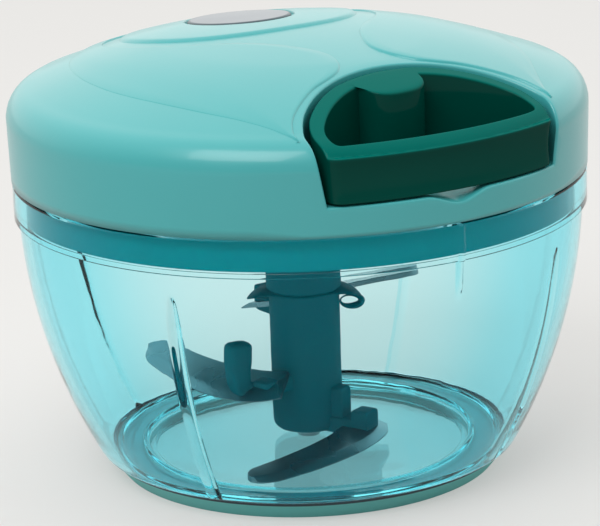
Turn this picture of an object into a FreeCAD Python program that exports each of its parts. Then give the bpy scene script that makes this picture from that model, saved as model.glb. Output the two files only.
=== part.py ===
"""Pull-cord food chopper: clear bowl, bladed column, and a lid that holds a cord reel.

Frame: +Z up, the origin on the table under the middle of the bowl, and the handle pulled along -Y.
Every driving size is a cell of the sheet "Sizes" in millimetres or degrees, and every sketch
dimension, length and placement is an expression of those cells.
"""
import FreeCAD
import Part
import Sketcher
import math
import os
from FreeCAD import Placement, Rotation, Vector

SIZES = [
    # base ring and bowl
    ("ring_width", 5.4, "width of the base ring on the table"),
    ("ring_taper", 3.4, "how far the base ring draws in from the seam to the table"),
    ("ring_inset", 1.0, "base ring inside the bowl's foot at the seam"),
    ("ring_thickness", 3.0, "base ring under the bowl floor"),
    ("ring_lip_height", 4.3, "level of the seam between base ring and bowl"),
    ("ring_lip_width", 1.8, "width of the base ring's lip at the seam"),
    ("ring_spigot_width", 1.8, "wall of the spigot that holds the base ring"),
    ("ring_spigot_depth", 1.6, "depth of that spigot under the floor"),
    ("bowl_foot_radius", 46.8, "outer radius of the bowl at the seam"),
    ("bowl_floor_thickness", 2.0, "bowl floor"),
    ("bowl_middle_radius", 56.1, "outer radius of the bowl at the middle level"),
    ("bowl_middle_level", 25.0, "level of the wall's middle point"),
    ("rim_step", 1.0, "how far the rim band stands out from the wall under it"),
    ("bowl_step_level", 59.3, "underside of the rim band"),
    ("bowl_wall", 2.2, "bowl wall"),
    ("rim_radius", 63.5, "outer radius of the rim band"),
    ("rim_wall", 2.6, "wall of the rim band"),
    ("rim_height", 7.8, "height of the rim band"),
    ("fin_depth", 2.0, "depth of the bowl's inner fins"),
    ("fin_width", 3.0, "width of the bowl's inner fins"),
    ("fin_stop", 5.8, "distance of the fins' upper ends under the rim band"),
    ("fin_root", 0.4, "depth of the fins in the floor"),
    ("fin_azimuth", 32.0, "direction of the first fin from +X, degrees"),
    ("fin_count", 4, "number of fins"),
    ("key_width", 3.0, "width of the lid key under the rim band"),
    ("key_length", 7.8, "length of the lid key under the rim band"),
    ("pin_radius", 2.5, "pivot pin in the bowl floor"),
    ("pin_top_level", 30.0, "top of the pivot pin"),
    ("pin_seat_depth", 1.2, "pin length held in the floor"),
    ("boss_wall", 2.5, "wall of the boss round the pin"),
    ("boss_height", 1.2, "boss height above the floor"),
    # blade column
    ("column_foot_gap", 0.6, "gap between boss and column foot"),
    ("column_radius", 7.9, "outer radius of the column"),
    ("column_foot_round", 1.7, "how far the rounded foot draws in"),
    ("column_foot_height", 2.2, "height of the rounded foot"),
    ("hex_gap", 0.2, "top of the driving hex under the inner lid's underside"),
    ("collar_width", 0.9, "how far the collar stands out from the column"),
    ("collar_level", 39.4, "underside of the collar"),
    ("collar_height", 7.0, "collar height"),
    ("shade_width", 3.6, "how far the drooping splash shade stands out from the collar"),
    ("shade_droop", 2.4, "how far the shade droops"),
    ("shade_thickness", 0.9, "splash shade thickness"),
    ("hex_flats", 9.0, "driving hex across flats"),
    ("hex_height", 6.0, "driving hex height"),
    ("turn_fit", 0.08, "radial clearance of the turning fits"),
    ("arm_reach", 17.4, "end of the blade arms from the axis"),
    ("arm_width", 5.0, "width of the blade arms"),
    ("arm_height", 4.0, "height of the blade arms"),
    ("arm_drop", 1.0, "underside of the arms below the blade level"),
    ("post_length", 4.6, "length of the posts on the arms"),
    ("gusset_depth", 2.9, "how far the fins that join arms and column stand out"),
    ("gusset_width", 3.6, "thickness of those fins"),
    ("lower_post_height", 3.6, "post above the lower arm"),
    ("middle_post_height", 9.0, "post above the middle arm"),
    ("upper_post_height", 2.0, "post above the upper arm"),
    ("gusset_height", 8.0, "fin above an arm"),
    # blades: one crescent plan, x along the blade's arm, y across it
    ("blade_thickness", 1.2, "blade sheet"),
    ("blade_heel_overhang", 0.2, "outer corner of the heel beyond the arm's end"),
    ("blade_heel_y", 6.5, "outer corner of the heel, across the arm"),
    ("blade_belly_x", 21.2, "widest point of the cutting edge, along the arm"),
    ("blade_belly_y", -15.5, "widest point of the cutting edge, across the arm"),
    ("blade_tip_x", 12.2, "blade tip, along the arm"),
    ("blade_tip_y", -40.2, "blade tip, across the arm"),
    ("blade_waist_x", 11.2, "middle of the inner edge, along the arm"),
    ("blade_waist_y", -20.0, "middle of the inner edge, across the arm"),
    ("blade_tip_width", 3.2, "width of the rounded tip"),
    ("blade_root_gap", 1.0, "inner end of the root from the column"),
    ("blade_pivot_x", 16.0, "line along the arm where a pitched blade keeps its level"),
    ("lower_blade_level", 8.0, "level of the lower blade"),
    ("middle_blade_level", 19.4, "level of the middle blade"),
    ("upper_blade_level", 32.4, "level of the upper blade"),
    ("lower_blade_turn", 295.0, "direction of the lower blade's arm from +X, degrees"),
    ("middle_blade_turn", 198.0, "direction of the middle blade's arm from +X, degrees"),
    ("upper_blade_turn", 92.0, "direction of the upper blade's arm from +X, degrees"),
    ("lower_blade_pitch", 1.0, "slope of the lower blade across its length, degrees"),
    ("middle_blade_pitch", 20.0, "slope of the middle blade across its length, degrees"),
    ("upper_blade_pitch", 12.0, "slope of the upper blade across its length, degrees"),
    # lid
    ("lid_overhang", 0.5, "how far the lid stands out beyond the rim band"),
    ("lid_wall", 2.2, "wall of the lid cover"),
    ("parting_gap", 0.3, "gap between bowl rim and lid"),
    ("lid_side_height", 16.6, "height of the lid's upright side"),
    ("shoulder_width", 6.0, "width of the rounded shoulder"),
    ("shoulder_height", 4.3, "height of the rounded shoulder"),
    ("shoulder_bulge", 0.77, "how far the shoulder's round stands out from its chord, each way"),
    ("dome_mid_radius", 30.0, "radius where the dome's two arcs meet"),
    ("dome_rise", 8.1, "rise of the dome from the shoulder to there"),
    ("dome_bulge", 0.9, "height of that arc's middle over its chord"),
    ("crown_rise", 1.9, "rise of the dome from there to the top"),
    ("recess_half_width", 30.0, "half width of the handle recess"),
    ("recess_standoff", 7.6, "back of the recess from the reel"),
    ("recess_side_length", 13.5, "length of the recess's straight sides"),
    ("recess_floor_height", 6.6, "floor of the handle recess above the lid's lower edge"),
    ("recess_wall", 1.8, "walls of the handle recess"),
    ("notch_radius", 10.0, "radius of the finger notch in the recess floor"),
    ("notch_depth", 2.0, "depth of the finger notch"),
    ("badge_centre", 24.0, "centre of the badge behind the axis"),
    ("badge_width", 23.2, "badge width"),
    ("badge_length", 24.8, "badge length"),
    ("badge_thickness", 1.0, "badge thickness"),
    ("badge_drop", 1.3, "middle of the badge below the lid's top"),
    ("badge_tilt", 6.0, "slope of the badge, degrees"),
    ("badge_gap", 0.1, "gap round the badge in its pocket"),
    # inner lid
    ("plug_clearance", 0.4, "gap between bowl rim and inner lid"),
    ("plug_rise", 0.9, "underside of the inner lid above that of the rim band"),
    ("plug_floor", 2.0, "floor of the inner lid"),
    ("plug_wall", 2.0, "wall of the inner lid"),
    ("flange_thickness", 1.6, "flange of the inner lid"),
    ("flange_clearance", 0.2, "gap between that flange and the lid cover"),
    ("screw_inset", 11.5, "housing screws from the inner lid's outside"),
    ("screw_count", 3, "number of housing screws"),
    ("screw_radius", 1.5, "housing screw shank"),
    ("screw_head_lip", 1.4, "how far a screw head stands out from its shank"),
    ("screw_head_height", 1.8, "housing screw head height"),
    ("screw_head_recess", 2.2, "level of the screw heads above the inner lid's underside"),
    ("screw_length", 14.0, "housing screw length under the head"),
    ("pillar_wall", 1.7, "wall of the pillars and bosses round the screw heads"),
    ("pillar_height", 3.6, "joint between pillars and bosses above the lid's lower edge"),
    # drive
    ("stem_radius", 9.0, "drive coupler stem"),
    ("bell_radius", 15.0, "splash bell of the drive coupler"),
    ("bell_drop", 8.2, "lower edge of the bell under the inner lid"),
    ("bell_edge", 1.3, "thickness of the bell"),
    ("bell_rise", 4.2, "height of the bell"),
    ("socket_clearance", 0.15, "gap on each flat of the hex socket"),
    ("socket_headroom", 0.8, "gap above the hex"),
    ("bush_wall", 1.5, "wall of the coupler bush"),
    ("bush_flange", 2.0, "width of the bush flange"),
    ("bush_flange_thickness", 1.0, "thickness of the bush flange"),
    ("hub_wall", 2.0, "wall of the inner lid's hub"),
    ("cup_radius", 21.0, "ratchet cup of the drive coupler"),
    ("cup_wall", 2.4, "wall of the ratchet cup"),
    ("cup_floor", 1.5, "floor of the ratchet cup"),
    ("cup_depth", 6.0, "depth of the ratchet cup"),
    ("notch_count", 12, "ratchet notches in the cup"),
    ("ratchet_notch_radius", 1.4, "radius of a ratchet notch"),
    ("axial_gap", 0.3, "running gap between turning faces"),
    ("axle_radius", 3.0, "reel axle"),
    ("axle_reach", 3.1, "reel axle's length in the drive coupler"),
    ("axle_seat", 3.0, "axle length held in the lid"),
    ("axle_boss_wall", 3.0, "wall of the lid's boss round the axle"),
    ("clip_width", 2.4, "how far the axle clip stands out"),
    ("clip_thickness", 0.8, "axle clip thickness"),
    # reel, spring, cord and handle
    ("reel_gap", 0.2, "running gap between ratchet cup and reel"),
    ("reel_radius", 26.0, "reel flanges"),
    ("reel_flange", 1.5, "thickness of the reel flanges"),
    ("reel_channel", 5.0, "width of the cord channel"),
    ("drum_radius", 17.0, "reel drum"),
    ("drum_wall", 2.0, "wall between the drum and its spring chamber"),
    ("reel_hub_wall", 2.12, "wall of the reel's hub round the axle"),
    ("spring_strip", 0.4, "spring strip thickness"),
    ("spring_end_gap", 0.1, "gap between spring and spring cover"),
    ("spring_gap", 0.4, "gap between the reel's hub and the spring's inner turn"),
    ("spring_clearance", 1.0, "room left between the spring and the chamber's wall"),
    ("spring_turns", 6, "turns of the spring"),
    ("cover_lap", 1.4, "how far the spring cover plate laps over the drum"),
    ("cover_thickness", 0.8, "spring cover plate thickness"),
    ("cord_diameter", 2.0, "pull cord"),
    ("winding_depth", 4.0, "depth of the wound cord on the drum"),
    ("winding_gap", 0.2, "gap between winding and reel"),
    ("cord_bend_radius", 4.0, "bend of the cord in the eyelet"),
    ("eyelet_wall", 1.65, "wall of the cord eyelet"),
    ("eyelet_flange", 1.2, "width of the eyelet's flange inside the lid"),
    ("eyelet_flange_thickness", 0.8, "thickness of that flange"),
    ("cord_hole_clearance", 0.35, "gap round the cord in its holes"),
    ("pawl_count", 2, "clutch pawls under the reel"),
    ("pawl_pivot_radius", 11.0, "circle of the pawl pivots"),
    ("pawl_pivot_pin", 1.4, "radius of the pawl pivot pins"),
    ("pawl_width", 4.6, "width of a pawl"),
    ("pawl_thickness", 3.4, "thickness of a pawl"),
    ("handle_side_gap", 2.4, "gap between handle and recess sides"),
    ("handle_gap", 0.5, "gap between handle and recess floor"),
    ("handle_drop", 0.8, "handle top below the dome"),
    ("handle_inset", 0.7, "front of the handle inside the lid's side"),
    ("handle_front_bow", 4.9, "how far the handle's front stands out between its corners"),
    ("handle_side_lead", 1.1, "end of the handle's straight sides behind those of the recess"),
    ("handle_back_gap", 1.0, "gap between handle and recess back"),
    ("handle_wall", 2.7, "wall of the handle"),
    ("handle_back_wall", 3.6, "back wall of the handle"),
    ("knot_boss_half", 7.6, "half width of the knot boss"),
    ("knot_boss_depth", 10.2, "front of the knot boss from the handle's back"),
    ("knot_radius", 2.4, "cord knot"),
    ("knot_pocket_clearance", 0.3, "gap round the knot in its pocket"),
    ("knot_length", 3.6, "length of the cord knot"),
]

doc = FreeCAD.newDocument("PullCordChopper")
sheet = doc.addObject("Spreadsheet::Sheet", "Sizes")


class Size:
    """A number together with the sheet expression that gives it."""

    def __init__(self, value, text):
        self.value = value
        self.text = text

    def _join(self, other, sign, value):
        other = other if isinstance(other, Size) else Size(other, repr(other))
        return Size(value(self.value, other.value), f"({self.text} {sign} {other.text})")

    def __add__(self, other):
        return self._join(other, "+", lambda a, b: a + b)

    def __sub__(self, other):
        return self._join(other, "-", lambda a, b: a - b)

    def __mul__(self, other):
        return self._join(other, "*", lambda a, b: a * b)

    def __truediv__(self, other):
        return self._join(other, "/", lambda a, b: a / b)

    def __rsub__(self, other):
        return Size(other, repr(other)) - self

    def __neg__(self):
        return Size(-self.value, f"(0 - {self.text})")


def root(size):
    """Square root of a size."""
    return Size(math.sqrt(size.value), f"sqrt({size.text})")


def sine(angle):
    """Sine of an angle in degrees."""
    return Size(math.sin(math.radians(angle.value)), f"sin({angle.text})")


class Sheet:
    """The sheet's cells by name, each as a Size."""


s = Sheet()
for row, (name, number, note) in enumerate(SIZES, start=1):
    sheet.set(f"A{row}", note)
    sheet.set(f"B{row}", str(number))
    sheet.setAlias(f"B{row}", name)
    setattr(s, name, Size(number, f"Sizes.{name}"))
doc.recompute()

ZERO = Size(0.0, "0")


def bind(item, path, size):
    """Drive one property of a document object by a size."""
    item.setExpression(path, size.text)


# ---------------------------------------------------------------- sketch and feature helpers

def body(label):
    """A new PartDesign body for one sub-part."""
    item = doc.addObject("PartDesign::Body", label)
    item.Label = label
    return item


def origin_part(item, role):
    """One of a body's own origin planes or axes."""
    return next(feature for feature in item.Origin.OriginFeatures if feature.Role == role)


def fix_point(sketch, curve, end, x, y):
    """Dimension one end of a curve from the sketch origin along both axes."""
    for kind, size in (("DistanceX", x), ("DistanceY", y)):
        index = sketch.addConstraint(Sketcher.Constraint(kind, -1, 1, curve, end, size.value))
        bind(sketch, f"Constraints[{index}]", size)


def add_outline(sketch, corners):
    """A closed outline through corners (x, y); ("arc", x, y) makes an arc through that point."""
    count = len(corners)
    stops = [index for index, corner in enumerate(corners) if len(corner) == 2]
    curves = []
    for position, index in enumerate(stops):
        following = stops[(position + 1) % len(stops)]
        start = Vector(corners[index][0].value, corners[index][1].value, 0)
        end = Vector(corners[following][0].value, corners[following][1].value, 0)
        between = corners[(index + 1) % count]
        if len(between) == 3:
            middle = Vector(between[1].value, between[2].value, 0)
            arc = Part.Arc(start, middle, end)
            curve = sketch.addGeometry(arc)
            # a circular arc always runs anticlockwise, so its start may be the outline's end
            forward = (middle - start).cross(end - middle).z > 0
            curves.append((curve, 1 if forward else 2, 2 if forward else 1))
            knot = sketch.addGeometry(Part.Point(middle), True)
            fix_point(sketch, knot, 1, between[1], between[2])
            sketch.addConstraint(Sketcher.Constraint("PointOnObject", knot, 1, curve))
        else:
            curves.append((sketch.addGeometry(Part.LineSegment(start, end)), 1, 2))
    for position, (curve, first, last) in enumerate(curves):
        after = curves[(position + 1) % len(curves)]
        sketch.addConstraint(Sketcher.Constraint("Coincident", curve, last, after[0], after[1]))
        x, y = corners[stops[position]][:2]
        fix_point(sketch, curve, first, x, y)


def add_circle(sketch, x, y, radius):
    """A full circle with its centre and radius dimensioned."""
    circle = sketch.addGeometry(Part.Circle(Vector(x.value, y.value, 0), Vector(0, 0, 1), radius.value))
    fix_point(sketch, circle, 3, x, y)
    bind(sketch, f"Constraints[{sketch.addConstraint(Sketcher.Constraint('Radius', circle, radius.value))}]",
         radius)


def new_sketch(item, name, plane, level=ZERO, turn=ZERO, turn_axis=Vector(0, 0, 1)):
    """A sketch on one of the body's own origin planes, lifted by level and turned in place."""
    sketch = item.newObject("Sketcher::SketchObject", name)
    sketch.AttachmentSupport = [(origin_part(item, plane), "")]
    sketch.MapMode = "FlatFace"
    sketch.AttachmentOffset = Placement(Vector(0, 0, level.value), Rotation(turn_axis, turn.value))
    bind(sketch, "AttachmentOffset.Base.z", level)
    if turn is not ZERO:
        bind(sketch, "AttachmentOffset.Rotation.Angle", turn)
    return sketch


def flat_sketch(item, name, level, *outlines, turn=ZERO):
    """A horizontal sketch of closed outlines; an outline of three sizes is a circle."""
    sketch = new_sketch(item, name, "XY_Plane", level, turn)
    for outline in outlines:
        if isinstance(outline, tuple):
            add_circle(sketch, *outline)
        else:
            add_outline(sketch, outline)
    return sketch


def section_sketch(item, name, corners):
    """A sketch of half a section: x is the radius and y the level."""
    sketch = new_sketch(item, name, "XZ_Plane")
    add_outline(sketch, corners)
    return sketch


def revolve(item, name, corners, cut=False):
    """Turn a section round the axis as a solid, or as a groove when it cuts."""
    sketch = section_sketch(item, f"{name}_section", corners)
    feature = item.newObject("PartDesign::Groove" if cut else "PartDesign::Revolution", name)
    feature.Profile = sketch
    feature.ReferenceAxis = (sketch, ["V_Axis"])
    feature.Angle = 360.0
    return feature


def pad(item, name, level, height, *outlines, turn=ZERO):
    """Raise outlines from a level upwards."""
    feature = item.newObject("PartDesign::Pad", name)
    feature.Profile = flat_sketch(item, f"{name}_outline", level, *outlines, turn=turn)
    bind(feature, "Length", height)
    return feature


def pocket(item, name, level, height, *outlines, turn=ZERO):
    """Cut outlines from a level upwards."""
    feature = item.newObject("PartDesign::Pocket", name)
    feature.Profile = flat_sketch(item, f"{name}_outline", level, *outlines, turn=turn)
    feature.Reversed = True
    bind(feature, "Length", height)
    return feature


def repeat(item, name, feature, count):
    """Copies of a feature, evenly spaced round the body's Z axis."""
    pattern = item.newObject("PartDesign::PolarPattern", name)
    pattern.Originals = [feature]
    pattern.Axis = (origin_part(item, "Z_Axis"), [""])
    pattern.Angle = 360.0
    bind(pattern, "Occurrences", count)
    item.Tip = pattern
    return pattern


def box_outline(x_low, x_high, y_low, y_high):
    """A rectangle as an outline."""
    return [(x_low, y_low), (x_high, y_low), (x_high, y_high), (x_low, y_high)]


def hexagon(flats):
    """A hexagon round the axis with two flats facing +-Y."""
    half, side = flats / 2, flats / math.sqrt(3)
    return [(side, ZERO), (side / 2, half), (-side / 2, half), (-side, ZERO), (-side / 2, -half),
            (side / 2, -half)]


def circle(radius, x=ZERO, y=ZERO):
    """A circle as an outline."""
    return (x, y, radius)


def on_arc(low, middle, high, offset):
    """Three points of an arc profile, moved sideways by an offset."""
    return [(low[0] + offset, low[1]), ("arc", middle[0] + offset, middle[1]), (high[0] + offset, high[1])]


# ---------------------------------------------------------------- levels and radii that follow

DIAGONAL = math.sqrt(0.5)

# base ring and bowl
ring_seam_radius = s.bowl_foot_radius - s.ring_inset
ring_foot_radius = ring_seam_radius - s.ring_taper
ring_bore_radius = ring_foot_radius - s.ring_width
floor_under = s.ring_thickness
floor_level = floor_under + s.bowl_floor_thickness
bowl_step_radius = s.rim_radius - s.rim_step
rim_inner_radius = s.rim_radius - s.rim_wall
rim_level = s.bowl_step_level + s.rim_height
fin_top_level = s.bowl_step_level - s.fin_stop
key_bottom_level = s.bowl_step_level - s.key_length
boss_radius = s.pin_radius + s.boss_wall

# lid and inner lid
lid_radius = s.rim_radius + s.lid_overhang
lid_bottom_level = rim_level + s.parting_gap
lid_shoulder_level = lid_bottom_level + s.lid_side_height
dome_edge_radius = lid_radius - s.shoulder_width
dome_edge_level = lid_shoulder_level + s.shoulder_height
dome_mid_level = dome_edge_level + s.dome_rise
lid_top_level = dome_mid_level + s.crown_rise
badge_level = lid_top_level - s.badge_drop
recess_back = s.reel_radius + s.recess_standoff
recess_corner = lid_radius - s.recess_side_length
recess_floor_level = lid_bottom_level + s.recess_floor_height
plug_radius = rim_inner_radius - s.plug_clearance
plug_bottom_level = s.bowl_step_level + s.plug_rise
flange_radius = lid_radius - s.lid_wall - s.flange_clearance
screw_circle_radius = plug_radius - s.screw_inset
screw_head_radius = s.screw_radius + s.screw_head_lip
pillar_radius = screw_head_radius + s.pillar_wall
pillar_top_level = lid_bottom_level + s.pillar_height

# blade set
column_foot_level = floor_level + s.boss_height + s.column_foot_gap
column_foot_radius = s.column_radius - s.column_foot_round
hex_top_level = plug_bottom_level - s.hex_gap
column_shoulder_level = hex_top_level - s.hex_height
collar_radius = s.column_radius + s.collar_width
shade_radius = collar_radius + s.shade_width
gusset_reach = s.column_radius + s.gusset_depth
blade_root_x = s.column_radius + s.blade_root_gap
blade_heel_x = s.arm_reach + s.blade_heel_overhang

# drive
bell_bottom_level = plug_bottom_level - s.bell_drop
bush_radius = s.stem_radius + s.turn_fit + s.bush_wall
bush_top_level = pillar_top_level
cup_level = bush_top_level + s.bush_flange_thickness + s.axial_gap
cup_top_level = cup_level + s.cup_floor + s.cup_depth
cup_inner_radius = s.cup_radius - s.cup_wall
pawl_reach = cup_inner_radius - s.pawl_pivot_radius
axle_bore_radius = s.axle_radius + s.turn_fit
axle_bottom_level = cup_level - s.axle_reach
clip_radius = s.axle_radius + s.clip_width

# reel, spring and cord
reel_bottom_level = cup_top_level + s.reel_gap
channel_level = reel_bottom_level + s.reel_flange
reel_top_level = channel_level + s.reel_channel + s.reel_flange
cord_level = channel_level + s.reel_channel / 2
chamber_floor_level = channel_level + s.reel_flange
chamber_radius = s.drum_radius - s.drum_wall
cover_radius = chamber_radius + s.cover_lap
reel_hub_radius = axle_bore_radius + s.reel_hub_wall
spring_inner_radius = reel_hub_radius + s.spring_gap
spring_pitch = (chamber_radius - spring_inner_radius - s.spring_clearance) / s.spring_turns
spring_width = reel_top_level - chamber_floor_level - s.axial_gap - s.spring_end_gap
winding_radius = s.drum_radius + s.winding_depth
cord_hole_radius = s.cord_diameter / 2 + s.cord_hole_clearance
eyelet_radius = cord_hole_radius + s.eyelet_wall
eyelet_flange_radius = eyelet_radius + s.eyelet_flange

# handle
handle_level = recess_floor_level + s.handle_gap
handle_half_width = s.recess_half_width - s.handle_side_gap
handle_back = recess_back + s.handle_back_gap
handle_front = lid_radius - s.handle_inset
handle_front_corner = handle_front - s.handle_front_bow
handle_side_start = recess_corner - s.handle_side_lead
knot_boss_front = handle_back + s.knot_boss_depth

# name, level, turn, pitch and post height of each blade
blade_list = [
    ("lower_blade", s.lower_blade_level, s.lower_blade_turn, s.lower_blade_pitch, s.lower_post_height),
    ("middle_blade", s.middle_blade_level, s.middle_blade_turn, s.middle_blade_pitch, s.middle_post_height),
    ("upper_blade", s.upper_blade_level, s.upper_blade_turn, s.upper_blade_pitch, s.upper_post_height),
]

WALL_LOW = (s.bowl_foot_radius, s.ring_lip_height)
WALL_MIDDLE = (s.bowl_middle_radius, s.bowl_middle_level)
WALL_HIGH = (bowl_step_radius, s.bowl_step_level)


# ---------------------------------------------------------------- bowl and what stays with it

def make_base_ring():
    """The soft ring that the chopper stands on, pushed up round the bowl's spigot."""
    item = body("base_ring")
    lip_radius = ring_seam_radius - s.ring_lip_width
    revolve(item, "ring", [
        (ring_bore_radius, ZERO), (ring_foot_radius, ZERO), (ring_seam_radius, s.ring_lip_height),
        (lip_radius, s.ring_lip_height), (lip_radius, s.ring_thickness),
        (ring_bore_radius, s.ring_thickness)])
    return item


def make_bowl():
    """The clear bowl: wall, floor, ring spigot, four inner fins, lid key and pin boss."""
    item = body("bowl")
    lip_radius = ring_seam_radius - s.ring_lip_width
    spigot_inner = ring_bore_radius - s.ring_spigot_width
    spigot_level = floor_under - s.ring_spigot_depth
    inside_low, inside_middle, inside_high = on_arc(WALL_LOW, WALL_MIDDLE, WALL_HIGH, -s.bowl_wall)
    ledge_level = plug_bottom_level - s.parting_gap
    revolve(item, "wall", [
        (ZERO, floor_under), (spigot_inner, floor_under), (spigot_inner, spigot_level),
        (ring_bore_radius, spigot_level), (ring_bore_radius, floor_under), (lip_radius, floor_under),
        (lip_radius, s.ring_lip_height), WALL_LOW, ("arc",) + WALL_MIDDLE, WALL_HIGH,
        (s.rim_radius, s.bowl_step_level), (s.rim_radius, rim_level), (rim_inner_radius, rim_level),
        (rim_inner_radius, ledge_level), (inside_high[0], ledge_level - s.bowl_wall), inside_middle,
        (inside_low[0], floor_level), (ZERO, floor_level)])
    fin = item.newObject("PartDesign::Pad", "fin")
    fin.Profile = new_sketch(item, "fin_section", "XZ_Plane", turn=s.fin_azimuth, turn_axis=Vector(0, 1, 0))
    buried = s.bowl_wall / 2
    fin_bottom_level = floor_level - s.fin_root
    add_outline(fin.Profile[0], [
        (s.bowl_foot_radius - s.bowl_wall - s.fin_depth, fin_bottom_level),
        (s.bowl_foot_radius - buried, fin_bottom_level),
        ("arc", s.bowl_middle_radius - buried, s.bowl_middle_level),
        (bowl_step_radius - s.bowl_wall + buried / 2, fin_top_level),
        ("arc", s.bowl_middle_radius - s.bowl_wall - s.fin_depth, s.bowl_middle_level)])
    fin.Midplane = True
    bind(fin, "Length", s.fin_width)
    repeat(item, "fins", fin, s.fin_count)
    half_key = s.key_width / 2
    pad(item, "lid_key", key_bottom_level, s.bowl_step_level - key_bottom_level,
        box_outline(-half_key, half_key, -s.rim_radius, -(bowl_step_radius - s.bowl_wall / 2)))
    pad(item, "pin_boss", floor_level, s.boss_height, circle(boss_radius))
    pocket(item, "pin_seat", floor_level - s.pin_seat_depth, s.pin_seat_depth + s.boss_height,
           circle(s.pin_radius))
    return item


def make_pivot_pin():
    """The steel pin that the blade column turns on."""
    item = body("bowl_pivot_pin")
    bottom = floor_level - s.pin_seat_depth
    pad(item, "pin", bottom, s.pin_top_level - bottom, circle(s.pin_radius))
    return item


# ---------------------------------------------------------------- blade set

def make_column():
    """The column: driving hex, collar, splash shade, pin bore, and an arm, post and fin per blade."""
    item = body("blade_column")
    shade_edge = s.collar_level - s.shade_droop
    shade_top = s.collar_level + s.shade_thickness
    collar_top = s.collar_level + s.collar_height
    revolve(item, "tube", [
        (ZERO, column_foot_level), (column_foot_radius, column_foot_level),
        ("arc", column_foot_radius + s.column_foot_round * DIAGONAL,
         column_foot_level + s.column_foot_height * (1.0 - DIAGONAL)),
        (s.column_radius, column_foot_level + s.column_foot_height), (s.column_radius, s.collar_level),
        (shade_radius, shade_edge), (shade_radius, shade_edge + s.shade_thickness),
        (collar_radius, shade_top), (collar_radius, collar_top), (s.column_radius, collar_top),
        (s.column_radius, column_shoulder_level), (ZERO, column_shoulder_level)])
    pad(item, "hex", column_shoulder_level, s.hex_height, hexagon(s.hex_flats))
    half, half_gusset, start = s.arm_width / 2, s.gusset_width / 2, s.column_radius / 2
    for name, level, turn, pitch, post_height in blade_list:
        arm_level = level - s.arm_drop
        pad(item, f"{name}_arm", arm_level, s.arm_height, box_outline(start, s.arm_reach, -half, half),
            turn=turn)
        pad(item, f"{name}_post", arm_level, s.arm_height + post_height,
            box_outline(s.arm_reach - s.post_length, s.arm_reach, -half, half), turn=turn)
        pad(item, f"{name}_gusset", arm_level, s.arm_height + s.gusset_height,
            box_outline(start, gusset_reach, -half_gusset, half_gusset), turn=turn)
    pocket(item, "pin_bore", column_foot_level, s.pin_top_level + s.axial_gap - column_foot_level,
           circle(s.pin_radius + s.turn_fit))
    return item


def make_blade(name, level, turn, pitch):
    """One crescent blade, its root moulded into the arm and its curved cutting edge leading."""
    item = body(name)
    tip_back_x = s.blade_tip_x - s.blade_tip_width
    lift = s.blade_pivot_x * sine(pitch) - s.blade_thickness / 2
    sketch = new_sketch(item, f"{name}_plan", "XY_Plane", lift, pitch, Vector(0, 1, 0))
    add_outline(sketch, [
        (blade_root_x, s.arm_width / 2), (blade_heel_x, s.blade_heel_y),
        ("arc", s.blade_belly_x, s.blade_belly_y), (s.blade_tip_x, s.blade_tip_y),
        ("arc", s.blade_tip_x - s.blade_tip_width / 2, s.blade_tip_y - s.blade_tip_width / 4),
        (tip_back_x, s.blade_tip_y + s.blade_tip_width / 2),
        ("arc", s.blade_waist_x, s.blade_waist_y), (blade_root_x, -s.arm_width / 2)])
    sheet_metal = item.newObject("PartDesign::Pad", f"{name}_sheet")
    sheet_metal.Profile = sketch
    bind(sheet_metal, "Length", s.blade_thickness)
    item.Placement = Placement(Vector(0, 0, level.value), Rotation(Vector(0, 0, 1), turn.value))
    bind(item, "Placement.Base.z", level)
    bind(item, "Placement.Rotation.Angle", turn)
    return item


# ---------------------------------------------------------------- lid

def dome(offset):
    """The lid's outer half section from its side to its top, moved inwards by an offset."""
    shoulder_x = (lid_radius + dome_edge_radius) / 2 + s.shoulder_bulge
    shoulder_z = (lid_shoulder_level + dome_edge_level) / 2 + s.shoulder_bulge
    rise_x = (dome_edge_radius + s.dome_mid_radius) / 2
    rise_z = (dome_edge_level + dome_mid_level) / 2 + s.dome_bulge
    crown_x = s.dome_mid_radius / 2
    crown_z = lid_top_level - (lid_top_level - dome_mid_level) / 4
    return [
        (lid_radius - offset, lid_shoulder_level), ("arc", shoulder_x - offset, shoulder_z - offset),
        (dome_edge_radius - offset / 2, dome_edge_level - offset),
        ("arc", rise_x - offset / 4, rise_z - offset),
        (s.dome_mid_radius, dome_mid_level - offset), ("arc", crown_x, crown_z - offset),
        (ZERO, lid_top_level - offset)]


def recess_outline(grow):
    """Plan of the handle recess, open to the front, grown outwards by a wall."""
    half = s.recess_half_width + grow
    front = -(lid_radius + s.lid_wall)
    return [(-half, front), (half, front), (half, -recess_corner), ("arc", ZERO, grow - recess_back),
            (-half, -recess_corner)]


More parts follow.
